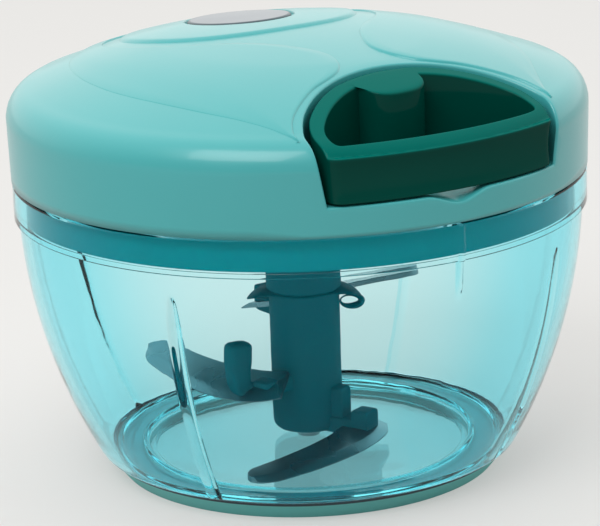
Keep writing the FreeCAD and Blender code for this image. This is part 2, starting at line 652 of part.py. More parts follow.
def make_lid_cover():
    """The domed cover with the handle recess, axle boss, screw bosses and badge pocket."""
    item = body("lid_cover")
    top_margin = lid_top_level + s.lid_wall
    outer, inner = dome(ZERO), dome(s.lid_wall)
    inner_rim = (lid_radius - s.lid_wall, lid_bottom_level)
    revolve(item, "shell", [(lid_radius, lid_bottom_level)] + outer + inner[::-1] + [inner_rim])
    tub_level = recess_floor_level - s.recess_wall
    pad(item, "recess_tub", tub_level, top_margin - tub_level, recess_outline(s.recess_wall))
    boss_level = reel_top_level + s.cover_thickness + s.axial_gap * 2
    pad(item, "axle_boss", boss_level, top_margin - boss_level, circle(s.axle_radius + s.axle_boss_wall))
    boss = pad(item, "screw_boss", pillar_top_level, top_margin - pillar_top_level,
               circle(pillar_radius, y=screw_circle_radius))
    repeat(item, "screw_bosses", boss, s.screw_count)
    beyond = lid_radius + s.recess_half_width
    above = top_margin + s.lid_wall
    revolve(item, "dome_trim", [(lid_radius, ZERO), (beyond, ZERO), (beyond, above), (ZERO, above)]
            + dome(ZERO)[::-1], cut=True)
    pocket(item, "recess", recess_floor_level, top_margin - recess_floor_level, recess_outline(ZERO))
    pocket(item, "finger_notch", tub_level - s.recess_wall, s.recess_wall * 3,
           circle(s.notch_radius, y=-(lid_radius + s.notch_radius - s.notch_depth)))
    pocket(item, "axle_seat", boss_level, s.axle_seat, circle(s.axle_radius))
    hole = pocket(item, "screw_hole", pillar_top_level, s.screw_length,
                  circle(s.screw_radius, y=screw_circle_radius))
    repeat(item, "screw_holes", hole, s.screw_count)
    eyelet_hole(item)
    badge_pocket(item)
    return item


def eyelet_hole(item):
    """The hole for the cord eyelet through the back wall of the recess."""
    sketch = new_sketch(item, "eyelet_hole_outline", "XZ_Plane", recess_back + s.recess_wall)
    add_circle(sketch, ZERO, cord_level, eyelet_radius)
    hole = item.newObject("PartDesign::Pocket", "eyelet_hole")
    hole.Profile = sketch
    bind(hole, "Length", s.recess_wall * 3)


def badge_pocket(item):
    """The shallow tilted oval pocket that the badge sits in."""
    sketch = new_sketch(item, "badge_pocket_outline", "XY_Plane", badge_level + s.badge_thickness,
                        -s.badge_tilt, Vector(1, 0, 0))
    bind(sketch, "AttachmentOffset.Base.y", s.badge_centre)
    add_oval(sketch, s.badge_width / 2 + s.badge_gap, s.badge_length / 2 + s.badge_gap)
    cut = item.newObject("PartDesign::Pocket", "badge_pocket")
    cut.Profile = sketch
    bind(cut, "Length", s.badge_thickness * 2)


def add_oval(sketch, half_x, half_y):
    """An oval of four arcs round the sketch origin, each through a point of the ellipse."""
    add_outline(sketch, [
        (half_x, ZERO), ("arc", half_x * DIAGONAL, half_y * DIAGONAL), (ZERO, half_y),
        ("arc", -half_x * DIAGONAL, half_y * DIAGONAL), (-half_x, ZERO),
        ("arc", -half_x * DIAGONAL, -half_y * DIAGONAL), (ZERO, -half_y),
        ("arc", half_x * DIAGONAL, -half_y * DIAGONAL)])


def make_badge():
    """The bare oval badge."""
    item = body("badge_plate")
    sketch = new_sketch(item, "badge_outline", "XY_Plane")
    add_oval(sketch, s.badge_width / 2, s.badge_length / 2)
    plate = item.newObject("PartDesign::Pad", "badge")
    plate.Profile = sketch
    plate.Reversed = True
    bind(plate, "Length", s.badge_thickness)
    item.Placement = Placement(Vector(0, s.badge_centre.value, badge_level.value),
                               Rotation(Vector(1, 0, 0), -s.badge_tilt.value))
    bind(item, "Placement.Base.y", s.badge_centre)
    bind(item, "Placement.Base.z", badge_level)
    bind(item, "Placement.Rotation.Angle", -s.badge_tilt)
    return item


def make_inner_lid():
    """The dished inner lid that plugs the bowl, with the coupler hub and screw pillars."""
    item = body("inner_lid")
    inside = plug_radius - s.plug_wall
    floor_top = plug_bottom_level + s.plug_floor
    flange_top = lid_bottom_level + s.flange_thickness
    revolve(item, "dish", [
        (bush_radius, plug_bottom_level), (plug_radius, plug_bottom_level),
        (plug_radius, lid_bottom_level), (flange_radius, lid_bottom_level), (flange_radius, flange_top),
        (inside, flange_top), (inside, floor_top), (bush_radius + s.hub_wall, floor_top),
        (bush_radius + s.hub_wall, bush_top_level), (bush_radius, bush_top_level)])
    pillar = pad(item, "pillar", plug_bottom_level, pillar_top_level - plug_bottom_level,
                 circle(pillar_radius, y=screw_circle_radius))
    repeat(item, "pillars", pillar, s.screw_count)
    head = pocket(item, "head_pocket", plug_bottom_level, s.screw_head_recess + s.screw_head_height,
                  circle(screw_head_radius + s.turn_fit, y=screw_circle_radius))
    repeat(item, "head_pockets", head, s.screw_count)
    shank = pocket(item, "shank_hole", plug_bottom_level, pillar_top_level - plug_bottom_level,
                   circle(s.screw_radius + s.turn_fit, y=screw_circle_radius))
    repeat(item, "shank_holes", shank, s.screw_count)
    return item


def make_screws():
    """The screws that hold the inner lid to the cover, driven from below."""
    item = body("housing_screws")
    head_top = plug_bottom_level + s.screw_head_recess + s.screw_head_height
    head = pad(item, "head", head_top - s.screw_head_height, s.screw_head_height,
               circle(screw_head_radius, y=screw_circle_radius))
    shank = pad(item, "shank", head_top, s.screw_length, circle(s.screw_radius, y=screw_circle_radius))
    pattern = repeat(item, "screws", head, s.screw_count)
    pattern.Originals = [head, shank]
    return item


def make_bush():
    """The flanged bush that the drive coupler turns in."""
    item = body("coupler_bush")
    bore = s.stem_radius + s.turn_fit
    flange_top = bush_top_level + s.bush_flange_thickness
    revolve(item, "bush", [
        (bore, plug_bottom_level), (bush_radius, plug_bottom_level), (bush_radius, bush_top_level),
        (bush_radius + s.bush_flange, bush_top_level), (bush_radius + s.bush_flange, flange_top),
        (bore, flange_top)])
    return item


def make_axle():
    """The steel axle of the reel, held in the cover's boss."""
    item = body("reel_axle")
    top = reel_top_level + s.cover_thickness + s.axial_gap * 2 + s.axle_seat
    pad(item, "axle", axle_bottom_level, top - axle_bottom_level, circle(s.axle_radius))
    return item


def make_clip():
    """The clip on the axle that keeps the reel up."""
    item = body("axle_clip")
    level = reel_bottom_level - s.axial_gap - s.clip_thickness
    pad(item, "clip", level, s.clip_thickness, circle(clip_radius), circle(s.axle_radius))
    return item


def make_eyelet():
    """The smooth eyelet that the cord runs through."""
    item = body("cord_eyelet")
    inner_face = recess_back - s.recess_wall
    layers = [("tube", recess_back, s.recess_wall, eyelet_radius),
              ("flange", inner_face, s.eyelet_flange_thickness, eyelet_flange_radius)]
    for name, face, depth, radius in layers:
        sketch = new_sketch(item, f"eyelet_{name}_outline", "XZ_Plane", face)
        add_circle(sketch, ZERO, cord_level, radius)
        add_circle(sketch, ZERO, cord_level, cord_hole_radius)
        layer = item.newObject("PartDesign::Pad", f"eyelet_{name}")
        layer.Profile = sketch
        layer.Reversed = True
        bind(layer, "Length", depth)
    return item


# ---------------------------------------------------------------- drive in the lid

def make_coupler():
    """The drive coupler: splash bell, stem with the hex socket, and the ratchet cup."""
    item = body("drive_coupler")
    bell_top = bell_bottom_level + s.bell_rise
    shoulder = column_shoulder_level + s.axial_gap * 2
    mouth = s.column_radius + s.axial_gap * 2
    revolve(item, "coupler", [
        (ZERO, shoulder), (mouth, shoulder), (s.bell_radius - s.bell_edge, bell_bottom_level),
        (s.bell_radius, bell_bottom_level), (s.bell_radius, bell_bottom_level + s.bell_edge),
        (s.stem_radius, bell_top + s.bell_edge), (s.stem_radius, cup_level), (s.cup_radius, cup_level),
        (s.cup_radius, cup_top_level), (cup_inner_radius, cup_top_level),
        (cup_inner_radius, cup_level + s.cup_floor),
        (ZERO, cup_level + s.cup_floor)])
    pocket(item, "hex_socket", shoulder, hex_top_level + s.socket_headroom - shoulder,
           hexagon(s.hex_flats + s.socket_clearance * 2))
    bore_level = axle_bottom_level - s.axial_gap
    pocket(item, "axle_bore", bore_level, cup_level + s.cup_floor - bore_level, circle(axle_bore_radius))
    notch = pocket(item, "notch", cup_level + s.cup_floor, s.cup_depth,
                   circle(s.ratchet_notch_radius, x=cup_inner_radius))
    repeat(item, "notches", notch, s.notch_count)
    return item


def make_reel():
    """The reel: two flanges, the drum with the spring chamber, and the pawl pivot pins."""
    item = body("cord_reel")
    revolve(item, "reel", [
        (axle_bore_radius, reel_bottom_level), (s.reel_radius, reel_bottom_level),
        (s.reel_radius, channel_level), (s.drum_radius, channel_level),
        (s.drum_radius, channel_level + s.reel_channel), (s.reel_radius, channel_level + s.reel_channel),
        (s.reel_radius, reel_top_level), (chamber_radius, reel_top_level),
        (chamber_radius, chamber_floor_level), (reel_hub_radius, chamber_floor_level),
        (reel_hub_radius, reel_top_level), (axle_bore_radius, reel_top_level)])
    pin_length = s.pawl_thickness + s.axial_gap
    pin = pad(item, "pawl_pin", reel_bottom_level - pin_length, pin_length,
              circle(s.pawl_pivot_pin, x=s.pawl_pivot_radius))
    repeat(item, "pawl_pins", pin, s.pawl_count)
    return item


def make_pawl(label, turn):
    """One clutch pawl, reaching from its pivot pin into a notch of the ratchet cup."""
    item = body(label)
    half = s.pawl_width / 2
    nose = s.ratchet_notch_radius - s.axial_gap
    neck = pawl_reach - s.ratchet_notch_radius
    pad(item, f"{label}_plan", reel_bottom_level - s.axial_gap / 2 - s.pawl_thickness, s.pawl_thickness,
        [(s.pawl_pivot_radius, half), ("arc", s.pawl_pivot_radius - half, ZERO), (s.pawl_pivot_radius, -half),
         (s.pawl_pivot_radius + neck, -nose), ("arc", s.pawl_pivot_radius + pawl_reach, ZERO),
         (s.pawl_pivot_radius + neck, nose)],
        circle(s.pawl_pivot_pin + s.turn_fit, x=s.pawl_pivot_radius))
    item.Placement = Placement(Vector(0, 0, 0), Rotation(Vector(0, 0, 1), turn.value))
    bind(item, "Placement.Rotation.Angle", turn)
    return item


def make_winding():
    """The cord wound on the reel, as the outer shape of its turns."""
    item = body("pull_cord_winding")
    low, high = channel_level + s.winding_gap, channel_level + s.reel_channel - s.winding_gap
    inner = s.drum_radius + s.winding_gap
    revolve(item, "winding", [(inner, low), (winding_radius, low), (winding_radius, high), (inner, high)])
    return item


def make_spring():
    """The spiral strip spring that winds the cord back, drawn as half-circle turns."""
    item = body("recoil_spring")
    half_growth = spring_pitch / 2
    level = chamber_floor_level + s.axial_gap
    halves = int(s.spring_turns.value) * 2
    edges = {}
    for edge, shift in (("inner", ZERO), ("outer", s.spring_strip)):
        radius, centre, points = spring_inner_radius + shift, ZERO, []
        for half in range(halves):
            side = 1 if half % 2 == 0 else -1
            points.append((centre + radius * side, ZERO))
            points.append(("arc", centre, radius * side))
            if half < halves - 1:
                centre = centre + half_growth * side
                radius = radius + half_growth
        points.append((centre - radius * side, ZERO))
        edges[edge] = points
    pad(item, "spring", level, spring_width, edges["outer"] + edges["inner"][::-1])
    return item


def make_spring_cover():
    """The plate that closes the spring chamber."""
    item = body("spring_cover")
    pad(item, "cover", reel_top_level, s.cover_thickness, circle(cover_radius),
        circle(s.axle_radius + s.axial_gap))
    return item


# ---------------------------------------------------------------- handle and cord

def handle_outline(inset, back_inset):
    """Plan of the handle, moved inwards by its walls."""
    half = handle_half_width - inset
    side_start = -(handle_side_start + back_inset)
    return [
        (-half, inset - handle_front_corner), ("arc", ZERO, inset - handle_front),
        (half, inset - handle_front_corner), (half, side_start), ("arc", ZERO, -(handle_back + back_inset)),
        (-half, side_start)]


def make_handle():
    """The pull handle: a D-shaped ring whose top follows the dome, with the knot boss inside."""
    item = body("pull_handle")
    above = lid_top_level + s.lid_wall
    height = above - handle_level
    pad(item, "ring", handle_level, height, handle_outline(ZERO, ZERO),
        handle_outline(s.handle_wall, s.handle_back_wall))
    half = s.knot_boss_half
    pad(item, "knot_boss", handle_level, height,
        box_outline(-half, half, -knot_boss_front, -(handle_back + s.handle_back_wall / 2)))
    beyond = lid_radius + s.lid_wall
    profile = lowered_dome(s.handle_drop)
    revolve(item, "top_trim", [(profile[0][0], ZERO), (beyond, ZERO), (beyond, above), (ZERO, above)]
            + profile[::-1], cut=True)
    drill(item, "cord_hole", handle_back - s.handle_wall, knot_boss_front, cord_hole_radius)
    pocket_start = knot_boss_front - s.knot_length - s.knot_pocket_clearance
    drill(item, "knot_pocket", pocket_start, knot_boss_front, s.knot_radius + s.knot_pocket_clearance)
    return item


def lowered_dome(drop):
    """The dome's half section lowered by a drop, from side to top."""
    return [corner[:-1] + (corner[-1] - drop,) for corner in dome(ZERO)]


def drill(item, name, start, end, radius):
    """A round hole along -Y at the cord's level, from one distance to another."""
    sketch = new_sketch(item, f"{name}_outline", "XZ_Plane", start)
    add_circle(sketch, ZERO, cord_level, radius)
    hole = item.newObject("PartDesign::Pocket", name)
    hole.Profile = sketch
    hole.Reversed = True
    bind(hole, "Length", end - start)


def make_knot():
    """The knot that holds the cord in the handle."""
    item = body("cord_knot")
    start = knot_boss_front - s.knot_length
    sketch = new_sketch(item, "knot_outline", "XZ_Plane", start)
    add_circle(sketch, ZERO, cord_level, s.knot_radius)
    knot = item.newObject("PartDesign::Pad", "knot")
    knot.Profile = sketch
    bind(knot, "Length", s.knot_length)
    return item


def make_cord_lead():
    """The cord from the reel, round the eyelet's bend, to the knot in the handle."""
    item = body("pull_cord_lead")
    take_off = winding_radius + s.cord_diameter / 2 + s.winding_gap
    bend_at = recess_back - s.recess_wall - s.eyelet_flange_thickness - s.cord_bend_radius / 2
    # the cord leaves the winding along its tangent, so the triangle at the axis is right-angled
    reach = root(bend_at * bend_at - take_off * take_off)
    slope_across, slope_along = take_off / bend_at, reach / bend_at
    start_x, start_y = -(reach * slope_across), -(bend_at - reach * slope_along)
    trim = s.cord_bend_radius * (slope_across / (slope_along + 1.0))
    line_end = (-(trim * slope_across), -(bend_at - trim * slope_along))
    arc_end = (ZERO, -(bend_at + trim))
    path = new_sketch(item, "cord_path", "XY_Plane", cord_level)
    knot_face = -(knot_boss_front - s.knot_length)
    add_path(path, (start_x, start_y), line_end, arc_end, (ZERO, knot_face), math.asin(slope_across.value))
    section = new_sketch(item, "cord_section", "XZ_Plane", knot_boss_front - s.knot_length)
    add_circle(section, ZERO, cord_level, s.cord_diameter / 2)
    doc.recompute()
    pipe = item.newObject("PartDesign::AdditivePipe", "cord")
    pipe.Profile = section
    pipe.Spine = (path, ["Edge1", "Edge2", "Edge3"])
    return item


def add_path(sketch, start, line_end, arc_end, finish, turn):
    """An open path: a run, a bend through an angle and tangent to both runs, and a second run."""
    bend_radius = s.cord_bend_radius.value
    corners = [Vector(x.value, y.value, 0) for x, y in (start, line_end, arc_end, finish)]
    centre = corners[2] - Vector(bend_radius, 0, 0)
    middle = centre + Vector(math.cos(turn / 2), math.sin(turn / 2), 0) * bend_radius
    last = sketch.addGeometry(Part.LineSegment(corners[3], corners[2]))
    bend = sketch.addGeometry(Part.Arc(corners[2], middle, corners[1]))
    run = sketch.addGeometry(Part.LineSegment(corners[1], corners[0]))
    fix_point(sketch, last, 1, *finish)
    fix_point(sketch, last, 2, *arc_end)
    fix_point(sketch, run, 1, *line_end)
    fix_point(sketch, run, 2, *start)
    sketch.addConstraint(Sketcher.Constraint("Coincident", last, 2, bend, 1))
    sketch.addConstraint(Sketcher.Constraint("Coincident", run, 1, bend, 2))
    index = sketch.addConstraint(Sketcher.Constraint("Radius", bend, bend_radius))
    bind(sketch, f"Constraints[{index}]", s.cord_bend_radius)


# ---------------------------------------------------------------- build, check and write

parts = [make_base_ring(), make_bowl(), make_pivot_pin(), make_column()]
parts += [make_blade(*entry[:4]) for entry in blade_list]
parts += [make_lid_cover(), make_badge(), make_inner_lid(), make_screws(), make_bush(), make_axle(),
          make_clip(), make_eyelet(), make_coupler(), make_reel(), make_winding(), make_spring(),
          make_spring_cover(), make_handle(), make_knot(), make_cord_lead()]
parts += [make_pawl("pawl_right", ZERO), make_pawl("pawl_left", Size(180.0, "180"))]
doc.recompute()

for item in doc.Objects:
    if "Invalid" in item.State or "Error" in item.State:
        raise RuntimeError(f"{item.Label} did not build: {item.State}")
for item in parts:
    if item.Shape.isNull() or not item.Shape.isValid():
        raise RuntimeError(f"{item.Label} has no valid shape")

os.makedirs("parts", exist_ok=True)
for item in parts:
    item.Shape.exportStep(f"parts/{item.Label}.step")
    box = item.Shape.optimalBoundingBox()
    print(f"{item.Label:18s} solids {len(item.Shape.Solids)} volume {item.Shape.Volume:9.1f} mm3  "
          f"z {box.ZMin:6.2f} to {box.ZMax:6.2f}")
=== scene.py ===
# %% [markdown]
# # A pull-cord food chopper, dressed round its working frame
# The frame already holds every working part at its real size. This lesson gives the parts their
# moulded shapes and finishes: a pale lid with a pull handle, a clear bowl, a dark bladed column.
# Every new surface is a formula worked out with numpy, so each shape can be read and changed.

import math

import bmesh
import bpy
import numpy as np
from mathutils import Matrix, Vector


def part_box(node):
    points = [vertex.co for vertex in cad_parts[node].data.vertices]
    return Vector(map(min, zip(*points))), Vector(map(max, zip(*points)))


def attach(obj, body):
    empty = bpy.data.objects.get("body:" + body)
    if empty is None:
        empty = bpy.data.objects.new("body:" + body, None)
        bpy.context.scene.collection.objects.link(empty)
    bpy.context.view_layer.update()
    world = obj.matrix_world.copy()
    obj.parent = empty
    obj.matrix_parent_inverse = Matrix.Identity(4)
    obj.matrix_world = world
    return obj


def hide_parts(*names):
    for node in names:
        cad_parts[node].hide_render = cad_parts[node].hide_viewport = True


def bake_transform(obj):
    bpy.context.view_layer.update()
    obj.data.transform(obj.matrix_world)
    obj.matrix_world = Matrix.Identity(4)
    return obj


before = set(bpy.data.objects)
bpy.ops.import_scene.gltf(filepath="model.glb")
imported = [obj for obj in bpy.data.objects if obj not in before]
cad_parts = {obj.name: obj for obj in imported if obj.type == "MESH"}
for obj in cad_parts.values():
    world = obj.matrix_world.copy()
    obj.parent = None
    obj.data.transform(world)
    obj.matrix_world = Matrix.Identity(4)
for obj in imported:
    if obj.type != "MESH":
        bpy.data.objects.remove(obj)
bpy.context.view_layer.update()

# %% [markdown]
# ## A few tools for surfaces
# A moulded shape is a skin, and a skin is a grid of points. These helpers turn such a grid into a
# mesh, weld its seams and poles, and turn its faces outwards. Blender's own primitives would be
# quicker to add, but a grid keeps the formula and the shape in one place.

# %% From grids to meshes
MM = 0.001
WELD = 0.002


def grid_faces(rows, columns, wrap_rows=False, wrap_columns=False):
    """Four corners for every cell of a grid; a wrapped direction joins its last line to its first."""
    row = np.arange(rows if wrap_rows else rows - 1)[:, None]
    column = np.arange(columns if wrap_columns else columns - 1)[None, :]
    next_row, next_column = (row + 1) % rows, (column + 1) % columns
    corners = (row * columns + column, row * columns + next_column,
               next_row * columns + next_column, next_row * columns + column)
    return np.stack(corners, -1).reshape(-1, 4)


def piece_from_grids(name, grids, body=None, sharp=40.0):
    """One piece from several grids of points in mm, welded where they meet, facing outwards."""
    points, faces, count = [], [], 0
    for grid, wrap_rows, wrap_columns in grids:
        points.append(grid.reshape(-1, 3))
        faces.append(grid_faces(*grid.shape[:2], wrap_rows, wrap_columns) + count)
        count += len(points[-1])
    mesh = bpy.data.meshes.new(name)
    mesh.from_pydata((np.concatenate(points) * MM).tolist(), [], np.concatenate(faces).tolist())
    shape = bmesh.new()
    shape.from_mesh(mesh)
    bmesh.ops.remove_doubles(shape, verts=shape.verts, dist=WELD * MM)
    bmesh.ops.recalc_face_normals(shape, faces=shape.faces)
    shape.to_mesh(mesh)
    shape.free()
    mesh.polygons.foreach_set("use_smooth", np.ones(len(mesh.polygons), bool))
    mesh.set_sharp_from_angle(angle=math.radians(sharp))
    piece = bpy.data.objects.new(name, mesh)
    bpy.context.scene.collection.objects.link(piece)
    if body:
        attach(piece, body)
    print(f"{name}: {len(mesh.polygons)} faces")
    return piece


def box_of(node):
    """A node's lowest and highest corner in mm."""
    low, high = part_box(node)
    return np.array(low) / MM, np.array(high) / MM


print("grids are in mm, meshes in metres; points closer than", WELD, "mm are welded")

# %% [markdown]
# ## Outlines and curves
# A toolmaker draws an outline from a few measured points and lets arcs and soft corners join them.
# Blender's curve objects could do that, but then a shape would be spread over many objects. Short
# numpy functions give the same arcs as plain rows of points, which the grids below are made of.

# %% Curves from a few points
def turned(profile, steps=192):
    """A closed profile of (radius, level) carried once round the axis: x = r cos a, y = r sin a."""
    profile = np.asarray(profile, float)
    angle = np.linspace(0, 2 * np.pi, steps, endpoint=False)[:, None]
    radius, level = profile[None, :, 0], profile[None, :, 1]
    grid = np.stack([radius * np.cos(angle), radius * np.sin(angle), level + 0 * angle], -1)
    return grid, True, True


def softened(corners, radius, steps=5):
    """A closed outline with its corners rounded: each corner becomes a parabola between its sides."""
    corners = np.asarray(corners, float)
    radius = np.broadcast_to(np.asarray(radius, float), len(corners))[:, None]
    back, ahead = np.roll(corners, 1, 0) - corners, np.roll(corners, -1, 0) - corners
    back_length = np.linalg.norm(back, axis=1, keepdims=True)
    ahead_length = np.linalg.norm(ahead, axis=1, keepdims=True)
    start = corners + back / back_length * np.minimum(radius, back_length * 0.49)
    end = corners + ahead / ahead_length * np.minimum(radius, ahead_length * 0.49)
    t = np.linspace(0, 1, steps)[None, :, None]
    curve = start[:, None] * (1 - t) ** 2 + 2 * corners[:, None] * t * (1 - t) + end[:, None] * t ** 2
    return curve.reshape(-1, 2)


def arc(start, middle, end, steps=64):
    """The circle through three points; its centre is equally far from all of them."""
    three = np.array([start, middle, end], float)
    squares = (three ** 2).sum(1)
    centre = np.linalg.solve(2 * (three[1:] - three[0]), squares[1:] - squares[0])
    angles = np.unwrap(np.arctan2(*(three - centre).T[::-1]))
    angle = np.linspace(angles[0], angles[2], steps)
    return centre + np.hypot(*(three[0] - centre)) * np.stack([np.cos(angle), np.sin(angle)], -1)


def resampled(path, count):
    """A path's points spaced evenly along its length."""
    path = np.asarray(path, float)
    along = np.concatenate([[0], np.cumsum(np.linalg.norm(np.diff(path, axis=0), axis=1))])
    even = np.linspace(0, along[-1], count)
    return np.stack([np.interp(even, along, path[:, k]) for k in range(path.shape[1])], -1)


def flowing(points, steps=12):
    """A smooth curve through points: a Catmull-Rom cubic between each pair, its ends mirrored."""
    p = np.asarray(points, float)
    p = np.concatenate([[2 * p[0] - p[1]], p, [2 * p[-1] - p[-2]]])
    t = np.linspace(0, 1, steps, endpoint=False)[None, :, None]
    a, b, c, d = (p[k:len(p) - 3 + k, None] for k in range(4))
    curve = 0.5 * (2 * b + (c - a) * t + (2 * a - 5 * b + 4 * c - d) * t ** 2
                   + (3 * b - a - 3 * c + d) * t ** 3)
    return np.concatenate([curve.reshape(-1, 2), p[-2:-1]])


def smooth_step(x):
    """0 below 0, 1 above 1 and a smooth S between them."""
    x = np.clip(x, 0, 1)
    return x * x * (3 - 2 * x)


def quarter(start, corner, end, steps=8):
    """A bend from start to end that leans on the corner."""
    t = np.linspace(0, 1, steps)[:, None]
    return np.array(start) * (1 - t) ** 2 + 2 * np.array(corner) * t * (1 - t) + np.array(end) * t ** 2


print("a bend between two walls:", quarter((0, 1), (0, 0), (1, 0), 3).tolist())

# %% [markdown]
# ## The finishes
# Moulded plastic is never one flat colour: the melt flows, the mould is a little matt, and light
# catches a faint orange peel. One node group makes that variation from Object coordinates, and
# every plastic uses it with its own scale and depth. A painted texture could do it too, but
# a formula has no seams and follows the piece when it moves.

# %% The shared group for moulded surfaces
FLOW_DETAIL, FLOW_DISTORTION, FLOW_RANGE = 3.0, 0.6, (0.3, 0.7)
GRAIN_DETAIL, GRAIN_DISTANCE = 2.0, 0.0002


def group_node(tree, kind, **settings):
    """A node of one kind with its plain settings."""
    node = tree.nodes.new(kind)
    for key, value in settings.items():
        setattr(node, key, value)
    return node


def preset(node, **values):
    """Set a node's input sockets; an underscore stands for a space in a socket's name."""
    for socket, value in values.items():
        node.inputs[socket.replace("_", " ")].default_value = value
    return node


def build_moulded_group():
    """Group "Moulded surface": tone, roughness and normal from two noises of an object's own space."""
    group = bpy.data.node_groups.new("Moulded surface", "ShaderNodeTree")
    face = group.interface
    for name, default in (("Flow scale", 18.0), ("Grain scale", 900.0), ("Grain height", 0.05),
                          ("Smoothest", 0.2), ("Roughest", 0.35)):
        face.new_socket(name, in_out="INPUT", socket_type="NodeSocketFloat").default_value = default
    face.new_socket("Tone", in_out="OUTPUT", socket_type="NodeSocketFloat")
    face.new_socket("Roughness", in_out="OUTPUT", socket_type="NodeSocketFloat")
    face.new_socket("Normal", in_out="OUTPUT", socket_type="NodeSocketVector")
    into, out = group.nodes.new("NodeGroupInput"), group.nodes.new("NodeGroupOutput")
    place = group.nodes.new("ShaderNodeTexCoord")
    flow = preset(group.nodes.new("ShaderNodeTexNoise"), Detail=FLOW_DETAIL, Distortion=FLOW_DISTORTION)
    grain = preset(group.nodes.new("ShaderNodeTexNoise"), Detail=GRAIN_DETAIL)
    spread = preset(group.nodes.new("ShaderNodeMapRange"), From_Min=FLOW_RANGE[0], From_Max=FLOW_RANGE[1])
    bump = preset(group.nodes.new("ShaderNodeBump"), Distance=GRAIN_DISTANCE)
    link = group.links.new
    link(place.outputs["Object"], flow.inputs["Vector"])
    link(place.outputs["Object"], grain.inputs["Vector"])
    link(into.outputs["Flow scale"], flow.inputs["Scale"])
    link(into.outputs["Grain scale"], grain.inputs["Scale"])
    link(flow.outputs["Fac"], spread.inputs["Value"])
    link(into.outputs["Smoothest"], spread.inputs["To Min"])
    link(into.outputs["Roughest"], spread.inputs["To Max"])
    link(into.outputs["Grain height"], bump.inputs["Strength"])
    link(grain.outputs["Fac"], bump.inputs["Height"])
    link(flow.outputs["Fac"], out.inputs["Tone"])
    link(spread.outputs["Result"], out.inputs["Roughness"])
    link(bump.outputs["Normal"], out.inputs["Normal"])
    return group


moulded_group = build_moulded_group()
print("the group", moulded_group.name, "has", len(moulded_group.nodes), "nodes")

# %% [markdown]
# ## One material for each moulding
# The lid, the handle, the column and the ring are different batches of plastic: their tone wanders
# a little and their gloss differs. Each material places the shared group with its own values, so a
# change of the skin's formula reaches all of them, and a change of one colour only one.

# %% Plastics, steels and the cord
def linear(red, green, blue):
    """A screen colour of 0 to 255 as the linear colour that a shader takes."""
    share = np.array([red, green, blue]) / 255
    return (*np.where(share <= 0.04045, share / 12.92, ((share + 0.055) / 1.055) ** 2.4), 1.0)


def moulded(name, low_tone, high_tone, scale=18.0, grain=(900.0, 0.05), rough=(0.2, 0.35), **shader):
    """A material whose colour wanders between two tones, with a moulded skin's gloss and grain."""
    material = bpy.data.materials.new(name)
    material.use_nodes = True
    tree = material.node_tree
    principled = tree.nodes["Principled BSDF"]
    skin = group_node(tree, "ShaderNodeGroup", node_tree=moulded_group)
    preset(skin, Flow_scale=scale, Grain_scale=grain[0], Grain_height=grain[1], Smoothest=rough[0],
           Roughest=rough[1])
    colour = preset(group_node(tree, "ShaderNodeMix", data_type="RGBA"), A=linear(*low_tone),
                    B=linear(*high_tone))
    tree.links.new(skin.outputs["Tone"], colour.inputs["Factor"])
    tree.links.new(colour.outputs["Result"], principled.inputs["Base Color"])
    tree.links.new(skin.outputs["Roughness"], principled.inputs["Roughness"])
    tree.links.new(skin.outputs["Normal"], principled.inputs["Normal"])
    preset(principled, **shader)
    return material


lid_plastic = moulded("pale teal lid plastic", (60, 167, 169), (72, 177, 179), rough=(0.3, 0.38),
                     Coat_Weight=0.35, Coat_Roughness=0.1)
handle_plastic = moulded("dark green handle plastic", (0, 60, 51), (0, 72, 62), rough=(0.2, 0.3),
                         Specular_IOR_Level=0.0, Coat_Weight=0.12, Coat_Roughness=0.08)
column_plastic = moulded("deep teal column plastic", (0, 112, 126), (0, 124, 138), rough=(0.2, 0.32),
                         Specular_IOR_Level=0.0, Coat_Weight=0.1, Coat_Roughness=0.15)
plug_plastic = moulded("teal inner lid plastic", (0, 156, 166), (0, 170, 180), rough=(0.2, 0.3),
                       Specular_IOR_Level=0.0, Coat_Weight=0.1, Coat_Roughness=0.15)
drive_plastic = moulded("white drive plastic", (214, 214, 208), (228, 228, 222), rough=(0.3, 0.45))
ring_rubber = moulded("soft base ring", (108, 206, 201), (120, 216, 211), rough=(0.5, 0.65))
blade_steel = moulded("ground blade steel", (104, 134, 144), (128, 156, 164), scale=60.0,
                      grain=(2400.0, 0.08), rough=(0.22, 0.36), Metallic=1.0)
pin_steel = moulded("turned pin steel", (168, 170, 172), (190, 192, 194), scale=80.0,
                    grain=(3000.0, 0.05), rough=(0.18, 0.3), Metallic=1.0)
spring_steel = moulded("blued spring steel", (92, 98, 112), (120, 124, 136), scale=70.0,
                       grain=(2600.0, 0.05), rough=(0.25, 0.4), Metallic=1.0)
badge_metal = moulded("satin badge metal", (150, 158, 164), (168, 174, 180), scale=40.0,
                      grain=(2000.0, 0.05), rough=(0.3, 0.42), Metallic=1.0)
cord_fibre = moulded("braided cord", (222, 224, 220), (238, 240, 236), scale=300.0,
                     grain=(1500.0, 0.6), rough=(0.7, 0.85))
print("materials so far:", [material.name for material in bpy.data.materials])

# %% [markdown]
# ## The base ring's faces
# The base ring is grey green. The face that the bowl covers shows through the bowl's floor and lies in
# the bowl's shadow, so a bright teal is painted on it as light. Its thin upper lip is painted dark as
# shade, so a fine line marks the seam under the bowl. Two materials on chosen faces could say this, but
# a mask from the distance to the axis needs no picking of faces and stays sharp at any scale.

# %% The ring's covered face and its lip
COVERED_RADIUS, COVERED_LEVEL, LIP_LEVEL = 0.0439, 0.0027, 0.0035
# The covered face's bright teal is painted light for a face in the bowl's shadow; the lip's dark tone is
# painted shade along the seam.
COVERED_PAINTED_LIGHT, LIP_PAINTED_SHADE = (0, 250, 255), (0, 38, 50)


